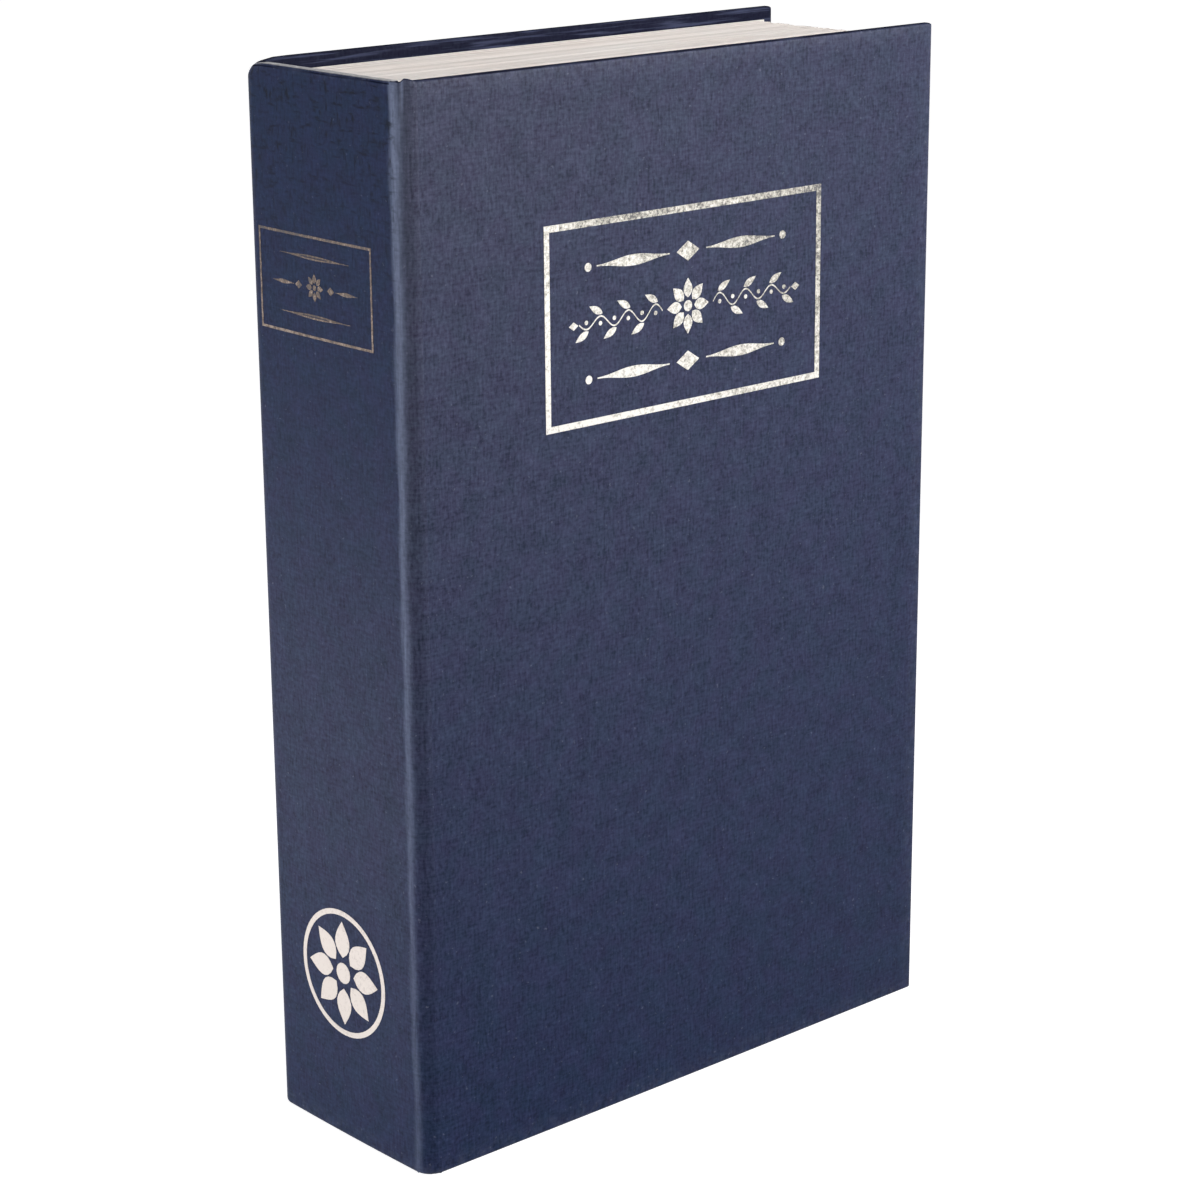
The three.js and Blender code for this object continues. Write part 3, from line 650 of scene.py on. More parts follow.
def front_bow(x, z):
    """How far the front cover bows out at a place, in metres."""
    across = (x - JOINT_X) / (RIGHT - JOINT_X)
    bow = arch(across) * (BOW_AT_ENDS + (1 - BOW_AT_ENDS) * arch(z / HEIGHT))
    (long_x, shift_x), (long_z, shift_z) = RIPPLE_ACROSS, RIPPLE_UP
    ripple = RIPPLE * np.sin(x / long_x + shift_x) * np.sin(z / long_z + shift_z)
    return COVER_BOW * bow + ripple * np.clip(arch(across), 0, 1)


def front_face(x, z):
    """The front cover's outer face."""
    return FRONT - front_bow(x, z)


def add_front_cover(cloths, endpaper):
    across = stops(JOINT_X, RIGHT, GRID, False, True)
    up = stops(0, HEIGHT, GRID, True, True)
    x, z = np.meshgrid(across, up, indexing="ij")
    edge = np.minimum(np.minimum(RIGHT - x, z), HEIGHT - z)
    drawn_in = inset(edge)
    place_x, place_z = rounded_outline(x, z, RIGHT, 0, HEIGHT)
    outer = np.stack([place_x, front_face(x, z) + drawn_in, place_z], -1)
    inner = np.stack([place_x, COVER_HIGH[1] - drawn_in, place_z], -1)
    inner[0, :, 0] += CLEAR
    wear = np.clip(1 - edge / WEAR_WIDTH, 0, 1)
    piece = two_sided(
        "front_cover_wrap", outer, inner, [*cloths, endpaper], np.stack([x, z], -1), wear,
        head_faces(x), first_wall=papered(up),
    )
    # Painted light: a lighting gradient, paler towards the head and the joint
    keep_on_both(piece, "painted_light", painted_light_front(x, z))
    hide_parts("front_cover_cloth")
    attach(piece, "front_cover")


# The head of the back joint is bumped in, with the boards under it
CRUSH_TIP = 0.3
CRUSH_PUSH = 1.1 * MM
CRUSH_DROP = 0.7 * MM
CRUSH_REACH = 4.2 * MM
CRUSH_HEIGHT = 3.6 * MM


def crushed(points):
    """Moves points near the head of the back joint inward and down."""
    points = np.array(points, float)
    tip = np.array([LEFT + CRUSH_TIP * JOINT_RADIUS, BACK - CRUSH_TIP * JOINT_RADIUS])
    near = bell(np.linalg.norm(points[..., :2] - tip, axis=-1), 0, CRUSH_REACH)
    height = np.clip(1 - (HEIGHT - points[..., 2]) / CRUSH_HEIGHT, 0, 1)
    push = CRUSH_PUSH * near * height**2
    return points + np.stack([push, -push, -CRUSH_DROP * near * height], -1)


# The case at the back runs up the spine, round the back joint and along the back cover
SPINE_CROWN = 0.25 * MM
BEND_STEPS = 10
CASE_ROUNDED = 0.35
HEAD_RUB = 0.25 * EDGE_RADIUS
RUBBED_BARE = 2.0
SPINE_TURN = -4

# Close grid lines beside the front joint and near the head
BESIDE_JOINT = np.linspace(0, 2.4 * MM, 7)
NEAR_HEAD = HEIGHT - np.linspace(1.0, 4.5, 8) * MM

# How far the joint's painted highlight reaches onto the spine, in millimetres
HIGHLIGHT_REACH = 0.45
HIGHLIGHT_WANDER = 0.4
HIGHLIGHT_WAVES = (11, 4.3, 0.5)


def back_path(distance):
    """Points and outward normals along the outer face, from the spine's front edge."""
    flat = SPINE_BACK - SPINE_FRONT
    on_spine = distance <= flat
    on_cover = distance >= flat + JOINT_RUN
    angle = np.clip((distance - flat) / JOINT_RADIUS, 0, math.pi / 2)
    x = JOINT_X - JOINT_RADIUS * np.cos(angle)
    y = SPINE_BACK + JOINT_RADIUS * np.sin(angle)
    x = np.where(on_spine, LEFT, x)
    y = np.where(on_spine, SPINE_FRONT + distance, y)
    x = np.where(on_cover, JOINT_X + distance - flat - JOINT_RUN, x)
    y = np.where(on_cover, BACK, y)
    return np.stack([x, y], -1), np.stack([-np.cos(angle), np.sin(angle)], -1)


def add_back_case(cloths, endpaper):
    flat = SPINE_BACK - SPINE_FRONT
    mid_joint = flat + JOINT_RUN * 0.5
    length = flat + JOINT_RUN + (RIGHT - JOINT_X)
    spine = stops(BESIDE_JOINT[-1], flat, SPINE_GRID, False, False)
    bend = flat + np.linspace(0, JOINT_RUN, BEND_STEPS + 1)[1:]
    cover = stops(flat + JOINT_RUN, length, GRID, False, True)[1:]
    along = np.concatenate([BESIDE_JOINT[:-1], spine, bend, cover])
    up = np.unique(np.concatenate([stops(0, HEIGHT, GRID, True, True), NEAR_HEAD]))
    t, z = np.meshgrid(along, up, indexing="ij")
    edge = np.minimum(np.minimum(length - t, z), HEIGHT - z)
    place_t, place_z = rounded_outline(t, z, length, 0, HEIGHT)
    base, normal = back_path(place_t)
    crown = SPINE_CROWN * np.clip(arch(t / flat), 0, 1)
    joint_share = np.clip((t - flat) / JOINT_RUN, 0, 1)
    bare = np.sin(joint_share * math.pi) ** 0.5
    thick = COVER_THICK - (COVER_THICK - 2 * CLOTH_THICK) * bare
    drawn_in = np.minimum(inset(edge), thick * CASE_ROUNDED)
    outer = np.zeros((*t.shape, 3))
    inner = np.zeros((*t.shape, 3))
    outer[..., :2] = base + normal * (crown - drawn_in)[..., None]
    inner[..., :2] = base - normal * (thick - drawn_in)[..., None]
    inner[0, :, 1] += CLEAR
    outer[..., 2] = place_z
    inner[..., 2] = place_z
    wear = np.clip(1 - edge / WEAR_WIDTH, 0, 1)
    wear = np.where((HEIGHT - z < HEAD_RUB) & (t < mid_joint), RUBBED_BARE, wear)
    on_spine = int(np.searchsorted(along, mid_joint))
    folded = head_faces(t, on_spine)
    folded[:on_spine, SPINE_TURN] = True
    piece = two_sided(
        "back_case_wrap", crushed(outer), crushed(inner), [*cloths, endpaper],
        np.stack([LEFT - t, z], -1), wear, folded, first_wall=papered(up),
    )
    # Painted light: the spine's lighting gradient, running into the front cover's over the back
    # cover
    on_cover = joint_share * painted_light_front(base[..., 0], z)
    keep_on_both(piece, "painted_light", (1 - joint_share) * painted_light_spine(z) + on_cover)
    keep_on_both(piece, "creased", (1 - joint_share) * creased_head(z))
    reach = (HIGHLIGHT_REACH + HIGHLIGHT_WANDER * wandering(z, HIGHLIGHT_WAVES)) * MM
    keep_outside(piece, "painted_highlight", joint_highlight(0, z) * bell(t, 0, reach))
    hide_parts("spine_cloth", "back_joint_cloth", "back_cover_cloth")
    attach(piece, "root")


# Front joint: creased beside the spine at the head, with the board's edge showing through
JOINT_COLUMNS = 33
JOINT_ROUNDED = 0.85
TURN_IN = 15 * MM
CREASE_DEPTH = 0.45 * MM
CREASE_LENGTH = 7 * MM
CREASE_SHARE = 0.38
CREASE_WIDTH_SHARE = 0.06
BOARD_LINE_DEPTH = 0.11 * MM
BOARD_LINE_SHARE = 0.68
BOARD_LINE_WIDTH = 0.035
BOARD_LINE_WAVES = (13, 5.3, 1)
HEAD_DIP = 0.15 * MM
HEAD_DIP_WIDTH = 0.1
HEAD_BUMP = 0.6 * MM
HEAD_BUMP_SHARE = 0.56
HEAD_BUMP_WIDTHS = (0.1, 0.3)
HEAD_REACH = 5 * MM
TAIL_LIFT = 0.25 * MM
TAIL_REACH = 4 * MM
ENDS_EASE = 3
CREASE_HIGHLIGHT_SHARE = 0.48
CREASE_HIGHLIGHT_WIDTH = 0.05
SPINE_FADES_OUT = 0.3
JOINT_PAINTED_LIGHT = 1.2


def add_front_joint(cloths, endpaper):
    up = stops(0, HEIGHT, JOINT_GRID, True, True)
    s, z = np.meshgrid(np.linspace(0, 1, JOINT_COLUMNS), up, indexing="ij")
    angle = s * math.pi / 2
    below_head = HEIGHT - z
    fade = bell(below_head, 0, CREASE_LENGTH)
    crease = CREASE_DEPTH * bell(s, CREASE_SHARE, CREASE_WIDTH_SHARE) * fade
    showing = 0.5 + 0.5 * wandering(z, BOARD_LINE_WAVES)
    line = BOARD_LINE_DEPTH * bell(s, BOARD_LINE_SHARE, BOARD_LINE_WIDTH) * showing
    depth = crease + line
    edge = np.minimum(z, below_head)
    drawn_in = np.minimum(inset(edge), CLOTH_THICK * JOINT_ROUNDED)
    outer_radius = JOINT_RADIUS - depth - drawn_in
    inner_radius = JOINT_RADIUS - depth - CLOTH_THICK * (1 + (edge < TURN_IN)) + drawn_in
    dip = HEAD_DIP * bell(s, CREASE_SHARE, HEAD_DIP_WIDTH)
    bump = HEAD_BUMP * bell(s, HEAD_BUMP_SHARE, np.where(s < HEAD_BUMP_SHARE, *HEAD_BUMP_WIDTHS))
    near = np.clip(1 - below_head / HEAD_REACH, 0, 1) ** 2
    tail_lift = TAIL_LIFT * np.clip(1 - z / TAIL_REACH, 0, 1) ** 2
    ends = np.clip(np.sin(s * math.pi) * ENDS_EASE, 0, 1)
    place_z = z + (tail_lift - (dip - bump) * near) * ends
    centre_y = FRONT + JOINT_RADIUS
    outer, inner = (
        np.stack([JOINT_X - radius * np.cos(angle), centre_y - radius * np.sin(angle), place_z], -1)
        for radius in (outer_radius, inner_radius)
    )
    wear = np.clip(1 - edge / WEAR_WIDTH, 0, 1)
    piece = two_sided(
        "front_joint_wrap", outer, inner, [*cloths, endpaper],
        np.stack([LEFT + s * JOINT_RUN, z], -1), wear, head_faces(s), inside=papered(up),
    )
    # Painted highlight: a light line beside the crease at the head
    beside_crease = bell(s, CREASE_HIGHLIGHT_SHARE, CREASE_HIGHLIGHT_WIDTH) * fade
    keep_outside(piece, "painted_highlight", np.maximum(joint_highlight(s, z), beside_crease))
    # Painted light: the spine's lighting gradient blends into the front cover's across the joint
    to_cover = np.clip(s / SPINE_FADES_OUT, 0, 1)
    on_cover = JOINT_PAINTED_LIGHT * to_cover * painted_light_front(JOINT_X, z)
    keep_on_both(piece, "painted_light", (1 - to_cover) * painted_light_spine(z) + on_cover)
    keep_on_both(piece, "creased", (1 - to_cover) * creased_head(z))
    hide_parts("front_joint_cloth")
    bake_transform(piece)


def page_window():
    """The window through the pages, read from the sheet glued over their front."""
    points = np.array([v.co for v in frame["nodes"]["page_face_sheet"].data.vertices])
    low, high = points.min(0), points.max(0)
    inside = points[
        (points[:, 0] > low[0] + MM) & (points[:, 0] < high[0] - MM)
        & (points[:, 2] > low[2] + MM) & (points[:, 2] < high[2] - MM)
    ]
    return inside.min(0), inside.max(0)


# Pages: each section is a stack of leaves, and each leaf's edges stand a little in or out
PAGE_WINDOW = page_window()
SECTION_COUNT = 7
SECTION_CREST = 1.0 * MM
SECTION_LIFT = 0.08 * MM
LEAVES = 34
LEAF_SEED = 40
LEAF_WANDER = 0.07 * MM
WINDOW_WANDER = 0.6
LEAF_DROP = 0.05 * MM
DEEP_LEAF = 0.14 * MM
NOT_DEEP = 0.93
RING = 8


def add_page_section(index, paper):
    node = f"page_section_{index}"
    low, high = corners(node)
    window_low, window_high = PAGE_WINDOW
    half = (high[1] - low[1]) / 2
    random = np.random.default_rng(LEAF_SEED + index)
    levels = np.linspace(low[1], high[1], LEAVES + 1)
    rings = []
    lift = random.normal(0, SECTION_LIFT)
    for leaf in range(LEAVES):
        middle = (levels[leaf] + levels[leaf + 1]) / 2 - (low[1] + half)
        swell = SECTION_CREST * (1 - (middle / half) ** 2)
        wander = random.normal(0, LEAF_WANDER, 6)
        deep = DEEP_LEAF * (random.random(2) > NOT_DEEP)
        right = high[0] - SECTION_CREST + swell + wander[0] - deep[0]
        top = high[2] + min(lift, 0) + wander[1] - LEAF_DROP - deep[1]
        bottom = low[2] + abs(wander[2])
        window = (
            window_low[0] + wander[3] * WINDOW_WANDER, window_high[0] + wander[4] * WINDOW_WANDER,
            window_low[2] + wander[5] * WINDOW_WANDER, window_high[2] + wander[3] * WINDOW_WANDER,
        )
        for level in (levels[leaf], levels[leaf + 1]):
            rings.append((level, (low[0], right, bottom, top), window))
    points, faces = [], []
    for level, outside, window in rings:
        for left, right, bottom, top in (outside, window):
            points += [
                (left, level, bottom), (right, level, bottom),
                (right, level, top), (left, level, top),
            ]
    sides = [(corner, (corner + 1) % 4) for corner in range(4)]
    for start in range(0, (len(rings) - 1) * RING, RING):
        following = start + RING
        for a, b in sides:
            faces.append((start + a, start + b, following + b, following + a))
            faces.append((start + 4 + b, start + 4 + a, following + 4 + a, following + 4 + b))
    for start in (0, (len(rings) - 1) * RING):
        faces += [(start + a, start + b, start + 4 + b, start + 4 + a) for a, b in sides]
    piece = mesh_object(f"{node}_leaves", points, faces, [paper], smooth_degrees=30)
    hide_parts(node)
    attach(piece, "root")


# Foil: outlines drawn flat, filled, and laid on a face
FOIL_LIFT = 0.03 * MM
FOIL_DEPTH = 0.05 * MM
FOIL_MERGE = 0.001 * MM
FOIL_SMOOTH = 40
BORDER_STEPS = 24


def inlay(name, outlines, material, lay, body):
    """Fills closed outlines of (across, up) points and lays them on a face of the case."""
    curve = bpy.data.curves.new(name, "CURVE")
    curve.dimensions = "2D"
    curve.fill_mode = "BOTH"
    curve.extrude = FOIL_DEPTH / 2
    for outline in outlines:
        spline = curve.splines.new("POLY")
        spline.points.add(len(outline) - 1)
        for point, (a, b) in zip(spline.points, outline):
            point.co = (a, b, 0, 1)
        spline.use_cyclic_u = True
    drawn = linked(f"{name}_outline", curve)
    bpy.context.view_layer.update()
    mesh = bpy.data.meshes.new_from_object(drawn)
    work = bmesh.new()
    work.from_mesh(mesh)
    bmesh.ops.remove_doubles(work, verts=work.verts, dist=FOIL_MERGE)
    points = [lay(v.co.x, v.co.y, v.co.z) for v in work.verts]
    work.verts.index_update()
    faces = [[v.index for v in f.verts] for f in work.faces]
    work.free()
    bpy.data.objects.remove(drawn)
    bpy.data.curves.remove(curve)
    bpy.data.meshes.remove(mesh)
    piece = mesh_object(name, points, faces, [material], FOIL_SMOOTH)
    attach(piece, body)


def lay_on_front(across, up, depth):
    return (across, front_face(across, up) - FOIL_LIFT - depth, up)


def lay_on_spine(across, up, depth):
    share = (across - SPINE_FRONT) / (SPINE_BACK - SPINE_FRONT)
    return (LEFT - SPINE_CROWN * arch(share) - FOIL_LIFT - depth, across, up)


def border(name, sides, rule, material, lay, body):
    """A rectangular rule, as a closed strip of short lengths that follows the face."""
    left, right, bottom, top = sides
    rings = []
    for shrink in (0, rule):
        x0, x1, y0, y1 = left + shrink, right - shrink, bottom + shrink, top - shrink
        along_x = np.linspace(x0, x1, BORDER_STEPS + 1)
        along_y = np.linspace(y0, y1, BORDER_STEPS + 1)
        loop = [(x, y0) for x in along_x[:-1]] + [(x1, y) for y in along_y[:-1]]
        loop += [(x, y1) for x in along_x[:0:-1]] + [(x0, y) for y in along_y[:0:-1]]
        rings.append(loop)
    points = [
        lay(a, b, side * FOIL_DEPTH / 2) for side in (-1, 1) for loop in rings for a, b in loop
    ]
    total = len(rings[0])
    low_out, low_in, high_out, high_in = 0, total, 2 * total, 3 * total
    strips = ((low_out, low_in), (low_in, high_in), (high_in, high_out), (high_out, low_out))
    faces = []
    for i in range(total):
        j = (i + 1) % total
        faces += [(first + i, first + j, second + j, second + i) for first, second in strips]
    piece = mesh_object(name, points, faces, [material], FOIL_SMOOTH)
    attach(piece, body)


def disc(x, y, radius, points):
    angles = np.linspace(0, 2 * math.pi, points, endpoint=False)
    return [(x + radius * math.cos(a), y + radius * math.sin(a)) for a in angles]


def lozenge(x, y, half_width, half_height):
    return [(x - half_width, y), (x, y - half_height), (x + half_width, y), (x, y + half_height)]


# Shares of a leaf, a swelled rule and a rosette, and how many points draw them
LEAF_POINTS = 9
LEAF_FULLNESS = 0.8
RULE_POINTS = 14
RULE_END = 0.12
PETALS = 8
ROSETTE_EYE = 0.2
PETAL_START = 0.3
PETAL_LENGTH = 0.7
PETAL_WIDTH = 0.42
SMALL_DISC_POINTS = 12
DISC_POINTS = 16
RING_POINTS = 64

# The waved stem, its leaves and its berries
STEM_HALF = 0.18 * MM
STEM_POINTS = 61
STEM_WAVES = 3
STEM_TAPER = 0.35
VINE_LEAF = (4.2 * MM, 1.6 * MM)
VINE_LEAF_ANGLE = math.radians(28)
VINE_LEAF_BACK = 0.6 * MM
VINE_LEAF_OUT = 0.5 * MM
BERRY_RADIUS = 0.5 * MM
BERRY_IN = 0.3 * MM
VINE_TIP = (1.3 * MM, 0.9 * MM)
VINE_TIP_BEYOND = 1.6 * MM


def leaf(x, y, length, width, angle):
    """A pointed leaf that grows from (x, y) in a direction."""
    steps = np.linspace(0, 1, LEAF_POINTS)
    half = width / 2 * np.sin(math.pi * steps**LEAF_FULLNESS)
    upper = [(s * length, h) for s, h in zip(steps, half)]
    lower = [(s * length, -h) for s, h in zip(steps[-2:0:-1], half[-2:0:-1])]
    cos, sin = math.cos(angle), math.sin(angle)
    return [(x + a * cos - b * sin, y + a * sin + b * cos) for a, b in upper + lower]


def swelled_rule(x, y, half_length, half_height):
    """The printer's rule that is thick in the middle and fine at its ends."""
    steps = np.linspace(-1, 1, RULE_POINTS)
    swell = half_height * np.cos(steps * math.pi / 2) ** 2 + half_height * RULE_END
    upper = [(x + s * half_length, y + h) for s, h in zip(steps, swell)]
    lower = [(x + s * half_length, y - h) for s, h in zip(steps[::-1], swell[::-1])]
    return upper + lower


def rosette(x, y, radius):
    outlines = [disc(x, y, radius * ROSETTE_EYE, DISC_POINTS)]
    start = radius * PETAL_START
    for petal in range(PETALS):
        angle = 2 * math.pi * petal / PETALS
        outlines.append(leaf(
            x + start * math.cos(angle), y + start * math.sin(angle),
            radius * PETAL_LENGTH, radius * PETAL_WIDTH, angle,
        ))
    return outlines


def vine(x, y, length, direction, height):
    """A waved stem that grows sideways, with a leaf on each crest and a berry in each bay."""
    steps = np.linspace(0, 1, STEM_POINTS)
    wave = height * np.sin(steps * STEM_WAVES * 2 * math.pi) * (1 - STEM_TAPER * steps)
    stem = [(x + direction * s * length, y + w) for s, w in zip(steps, wave)]
    upper = [(a, b + STEM_HALF) for a, b in stem]
    lower = [(a, b - STEM_HALF) for a, b in stem[::-1]]
    outlines = [upper + lower]
    for turn in range(2 * STEM_WAVES):
        share = (turn + 0.5) / (2 * STEM_WAVES)
        side = 1 if turn % 2 == 0 else -1
        leaf_up = height * (1 - STEM_TAPER * share) + VINE_LEAF_OUT
        foot_x = x + direction * share * length
        angle = VINE_LEAF_ANGLE * side
        if direction < 0:
            angle = math.pi - angle
        outlines.append(leaf(
            foot_x - direction * VINE_LEAF_BACK, y + side * leaf_up, *VINE_LEAF, angle,
        ))
        outlines.append(disc(foot_x, y - side * BERRY_IN, BERRY_RADIUS, SMALL_DISC_POINTS))
    outlines.append(lozenge(x + direction * (length + VINE_TIP_BEYOND), y, *VINE_TIP))
    return outlines


# Front border (left, right, bottom, top) and the ornament inside it
FRONT_BORDER = (-41.0 * MM, 41.4 * MM, 162.3 * MM, 206.9 * MM)
FRONT_RULE = 1.45 * MM
FRONT_ROSETTE = 6.2 * MM
VINE_START = 7.6 * MM
VINE_LENGTH = 24 * MM
VINE_HEIGHT = 1.7 * MM
FRONT_ROW = 12.2 * MM
ROW_LOZENGE = (3.4 * MM, 2.2 * MM)
ROW_RULE_PLACE = 16 * MM
ROW_RULE = (10.5 * MM, 1.1 * MM)
ROW_DOT_PLACE = 29 * MM
ROW_DOT = 0.95 * MM


def middle_of(sides):
    left, right, bottom, top = sides
    return (left + right) / 2, (bottom + top) / 2


def add_front_foil(silver):
    border("front_foil_border", FRONT_BORDER, FRONT_RULE, silver, lay_on_front, "front_cover")
    x, middle_z = middle_of(FRONT_BORDER)
    outlines = rosette(x, middle_z, FRONT_ROSETTE)
    for direction in (-1, 1):
        start = x + direction * VINE_START
        outlines += vine(start, middle_z, VINE_LENGTH, direction, VINE_HEIGHT)
    for row in (-1, 1):
        z = middle_z + row * FRONT_ROW
        outlines.append(lozenge(x, z, *ROW_LOZENGE))
        for direction in (-1, 1):
            outlines.append(swelled_rule(x + direction * ROW_RULE_PLACE, z, *ROW_RULE))
            outlines.append(disc(x + direction * ROW_DOT_PLACE, z, ROW_DOT, DISC_POINTS))
    inlay("front_foil_ornament", outlines, silver, lay_on_front, "front_cover")


# Spine border (front, back, bottom, top), the small ornament in it, and the tail's rosette
SPINE_BORDER = (-16.3 * MM, 22.9 * MM, 183.6 * MM, 205.4 * MM)
SPINE_RULE = 0.55 * MM
SPINE_ROSETTE = 3.0 * MM
SPINE_LOZENGE_PLACE = 5.6 * MM
SPINE_LOZENGE = (1.2 * MM, 0.9 * MM)
SHORT_RULE_PLACE = 11 * MM
SHORT_RULE = (3.8 * MM, 0.4 * MM)
LONG_RULE_ROW = 6.3 * MM
LONG_RULE = (12 * MM, 0.45 * MM)
EMBLEM = (1 * MM, 40 * MM)
EMBLEM_RADIUS = 15 * MM
EMBLEM_LINE = 1.25 * MM
EMBLEM_ROOM = 2.6 * MM


def add_spine_foil(copper, pale):
    border("spine_foil_border", SPINE_BORDER, SPINE_RULE, copper, lay_on_spine, "root")
    y, middle_z = middle_of(SPINE_BORDER)
    outlines = rosette(y, middle_z, SPINE_ROSETTE)
    for side in (-1, 1):
        outlines.append(lozenge(y + side * SPINE_LOZENGE_PLACE, middle_z, *SPINE_LOZENGE))
        outlines.append(swelled_rule(y + side * SHORT_RULE_PLACE, middle_z, *SHORT_RULE))
    for row in (-1, 1):
        outlines.append(swelled_rule(y, middle_z + row * LONG_RULE_ROW, *LONG_RULE))
    inlay("spine_foil_ornament", outlines, copper, lay_on_spine, "root")
    outlines = [
        disc(*EMBLEM, EMBLEM_RADIUS, RING_POINTS),
        disc(*EMBLEM, EMBLEM_RADIUS - EMBLEM_LINE, RING_POINTS)[::-1],
    ]
    outlines += rosette(*EMBLEM, EMBLEM_RADIUS - EMBLEM_ROOM)
    inlay("spine_rosette", outlines, pale, lay_on_spine, "root")


# Boards, and the finer pieces on the CAD nodes
JOINED = 0.002 * MM
FLAT = math.radians(1)
SHARP = math.radians(40)
BEVEL_STEPS = 3
BOX_EDGE = 0.2 * MM
METAL_EDGE = 0.15 * MM
SMALL_EDGE = 0.12 * MM


def body_of_node(node):
    for body, names in frame["record"]["behaviour"]["bodies"].items():
        if node in names:
            return body
    return "root"


def add_board(node, material):
    """A greyboard, bumped in with the cloth over it, and a hair smaller than its place."""
    low, high = corners(node)
    low, high = low + CARD_SHY, high - CARD_SHY
    counts = [max(2, int(round(size / GRID)) + 1) for size in high - low]
    thin = int(np.argmin(high - low))
    across, up = [axis for axis in range(3) if axis != thin]
    grid = np.meshgrid(
        np.linspace(low[across], high[across], counts[across]),
        np.linspace(low[up], high[up], counts[up]), indexing="ij",
    )
    sides = []
    for level in (low[thin], high[thin]):
        points = np.zeros((*grid[0].shape, 3))
        points[..., across], points[..., up], points[..., thin] = *grid, level
        sides.append(crushed(points))
    still = np.zeros(grid[0].shape)
    folded = np.zeros((grid[0].shape[0] - 1, grid[0].shape[1] - 1), bool)
    piece = two_sided(
        f"{node}_card", *sides, [material, material], np.stack(grid, -1), still, folded,
    )
    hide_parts(node)
    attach(piece, body_of_node(node))


def add_refined(node, material, edge=0.0):
    """A finer piece on a CAD node: flats joined up, edges rounded over, round faces smooth."""
    work = bmesh.new()
    work.from_mesh(frame["nodes"][node].data)
    bmesh.ops.remove_doubles(work, verts=work.verts, dist=JOINED)
    bmesh.ops.dissolve_limit(work, angle_limit=FLAT, verts=work.verts, edges=work.edges)
    mesh = bpy.data.meshes.new(node)
    work.to_mesh(mesh)
    work.free()
    piece = linked(f"{node}_finished", mesh)
    if edge:
        bevel = piece.modifiers.new("rounded_edges", "BEVEL")
        bevel.width = edge
        bevel.segments = BEVEL_STEPS
        bevel.limit_method = "ANGLE"
        bevel.angle_limit = SHARP
        bevel.miter_outer = "MITER_ARC"
        graph = bpy.context.evaluated_depsgraph_get()
        rounded = bpy.data.meshes.new_from_object(piece.evaluated_get(graph))
        piece.modifiers.clear()
        piece.data = rounded
    piece.data.materials.clear()
    piece.data.materials.append(material)
    for face in piece.data.polygons:
        face.use_smooth = True
    piece.data.set_sharp_from_angle(angle=SHARP)
    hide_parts(node)
    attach(piece, body_of_node(node))


# Stage: a pale floor and a white surround, each brighter to the camera than as a light
WHITE = (1, 1, 1, 1)
FLOOR_HALF = 6
FLOOR_PALE = (0.5, 0.5, 0.5, 1)
FLOOR_SEEN = 0.85
SURROUND_LIGHT = 0.3
SURROUND_SEEN = 1.0

# Lamps: name, place, target, size, watts and spread in degrees
LAMPS = (
    ("key_right", (0.5, -0.65, 0.5), (0, -0.03, 0.25), (0.35, 0.3), 1.35, 70),
    ("key_by_camera", (-0.75, -0.9, 0.5), (0, 0, 0.14), (0.4, 0.4), 2.1, 180),
    ("fill_left", (-0.8, 0.35, 0.15), (-0.07, 0, 0.08), (0.3, 0.12), 0.26, 40),
    ("top", (0.1, 0.1, 1.3), (0, 0, 0.1), (1.0, 1.0), 0.95, 180),
)


def add_floor():
    finish = Finish("floor_pale", Specular_IOR_Level=0.1)
    finish.colour(FLOOR_PALE)
    finish.rough(0.9)
    finish.shader.inputs["Emission Color"].default_value = WHITE
    glow = finish.times(finish.seen(), FLOOR_SEEN)
    finish.plug(finish.shader.inputs["Emission Strength"], glow)
    size = FLOOR_HALF
    points = [(-size, -size, 0), (size, -size, 0), (size, size, 0), (-size, size, 0)]
    mesh_object("floor", points, [(0, 1, 2, 3)], [finish.material])


def add_surround():
    world = bpy.data.worlds.new("studio")
    bpy.context.scene.world = world
    world.use_nodes = True
    nodes = Nodes(world.node_tree)
    background = nodes.tree.nodes["Background"]
    background.inputs["Color"].default_value = WHITE
    strength = nodes.span(nodes.seen(), 0, 1, SURROUND_LIGHT, SURROUND_SEEN)
    nodes.plug(background.inputs["Strength"], strength)


def add_lamp(name, place, target, size, watts, spread):
    data = bpy.data.lights.new(name, "AREA")
    data.shape = "RECTANGLE"
    data.size, data.size_y = size
    data.energy = watts
    data.spread = math.radians(spread)
    lamp = linked(name, data)
    direction = Vector(target) - Vector(place)
    lamp.rotation_euler = direction.to_track_quat("-Z", "Y").to_euler()
    lamp.location = place
    lamp.visible_camera = False


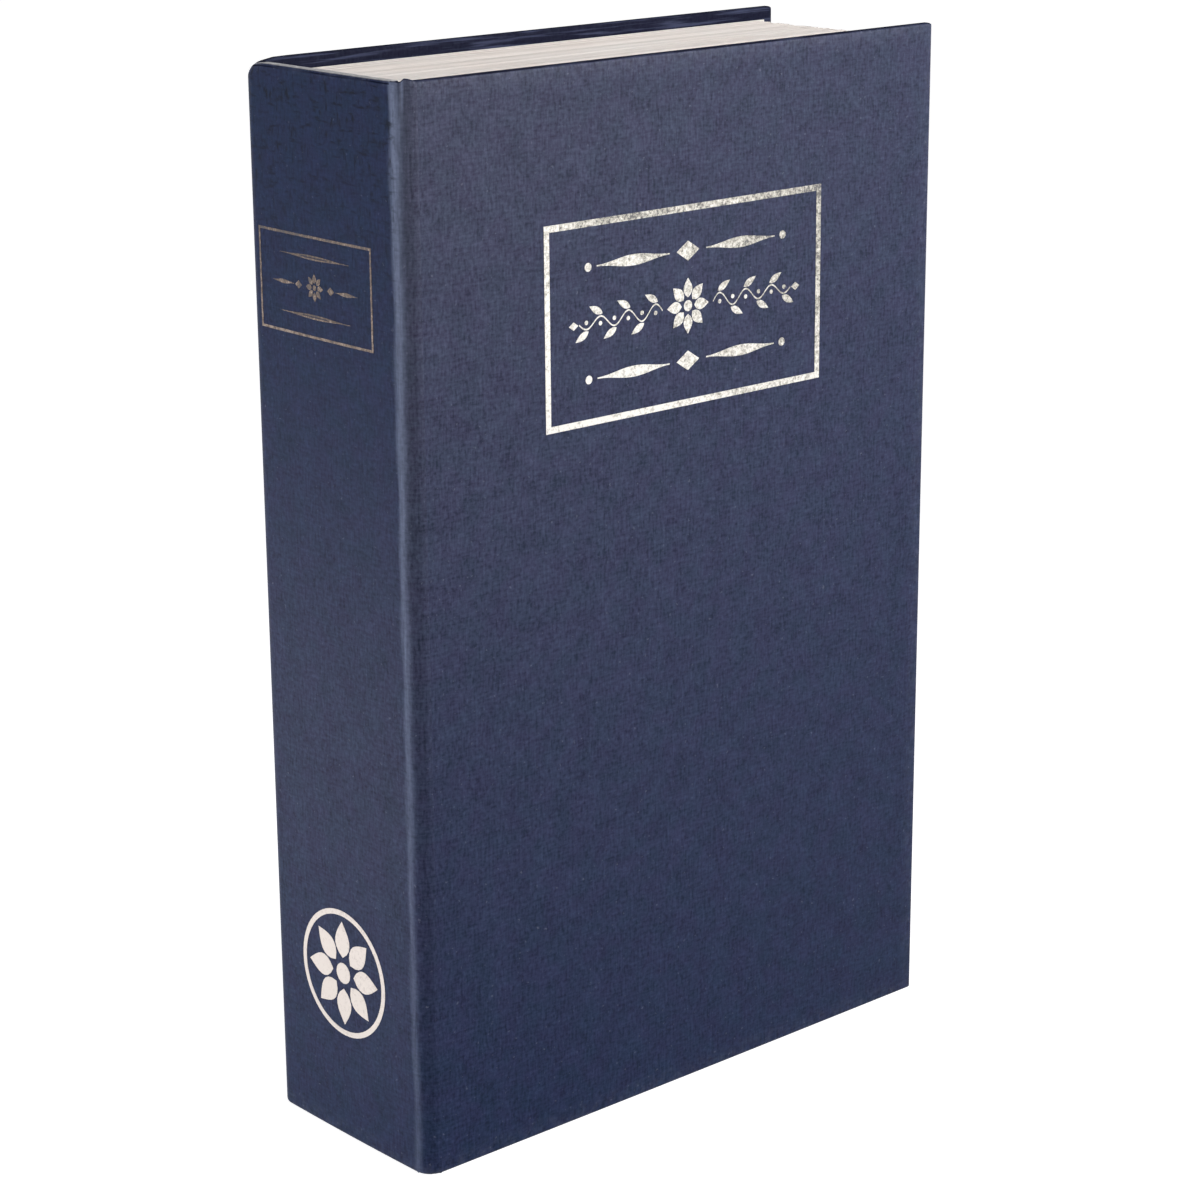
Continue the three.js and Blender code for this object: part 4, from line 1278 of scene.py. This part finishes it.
def main():
    add_camera()
    cloths = [cloth_finish("navy_cloth"), cloth_finish("navy_cloth_folded", True)]
    endpaper = endpaper_finish()
    add_front_cover(cloths, endpaper)
    add_back_case(cloths, endpaper)
    add_front_joint(cloths, endpaper)
    paper = page_finish()
    for index in range(1, SECTION_COUNT + 1):
        add_page_section(index, paper)
    # Each foil's bright and dull colour, and the places between which it gets more rubbed
    silver = foil_finish(
        "silver_foil", srgb(231, 227, 221), srgb(168, 164, 154), 0.15, 0.23, (0.5, 0, 1),
    )
    copper = foil_finish("copper_foil", srgb(142, 127, 117), srgb(86, 72, 64), 0.15, 0.206)
    pale = foil_finish("pale_foil", srgb(214, 205, 199), srgb(194, 184, 179), 0.05, 0.2)
    add_front_foil(silver)
    add_spine_foil(copper, pale)
    board = board_finish()
    for node in ("front_board", "back_board", "spine_board"):
        add_board(node, board)
    zinc = metal_finish("zinc_plated_steel", srgb(190, 192, 196), srgb(150, 152, 158), rough=0.3)
    pin_steel = metal_finish(
        "drawn_steel", srgb(186, 188, 192), srgb(140, 142, 148), rough=0.26, brushed=(1, 1, 0.04),
    )
    chrome = metal_finish("nickel_chrome", srgb(226, 227, 228), srgb(200, 201, 204), rough=0.12)
    paint = powder_coat_finish()
    tape = tape_finish()
    small_parts = ("lock_washer", "lock_nut", "lock_cam", "cam_washer", "cam_screw")
    sheets = ("front_pastedown", "back_pastedown", "page_face_sheet", "spine_lining")
    for nodes, material, slot, edge in (
        (sheets, endpaper, "endpaper", 0.0),
        (("box_body", "box_lid"), paint, "box_paint", BOX_EDGE),
        (("hinge_pin",), pin_steel, "bare_steel", METAL_EDGE),
        (("strike_bracket",), zinc, "bare_steel", METAL_EDGE),
        (small_parts, zinc, "bare_steel", SMALL_EDGE),
        (("lock_housing",), chrome, "lock_chrome", METAL_EDGE),
        (("lock_plug",), chrome, "lock_chrome", SMALL_EDGE),
        (("mounting_tape_tail", "mounting_tape_head"), tape, "mounting_tape", 0.0),
    ):
        for node in nodes:
            add_refined(node, material, edge)
    add_floor()
    add_surround()
    for lamp in LAMPS:
        add_lamp(*lamp)
    bpy.context.scene.view_settings.view_transform = "Standard"


main()
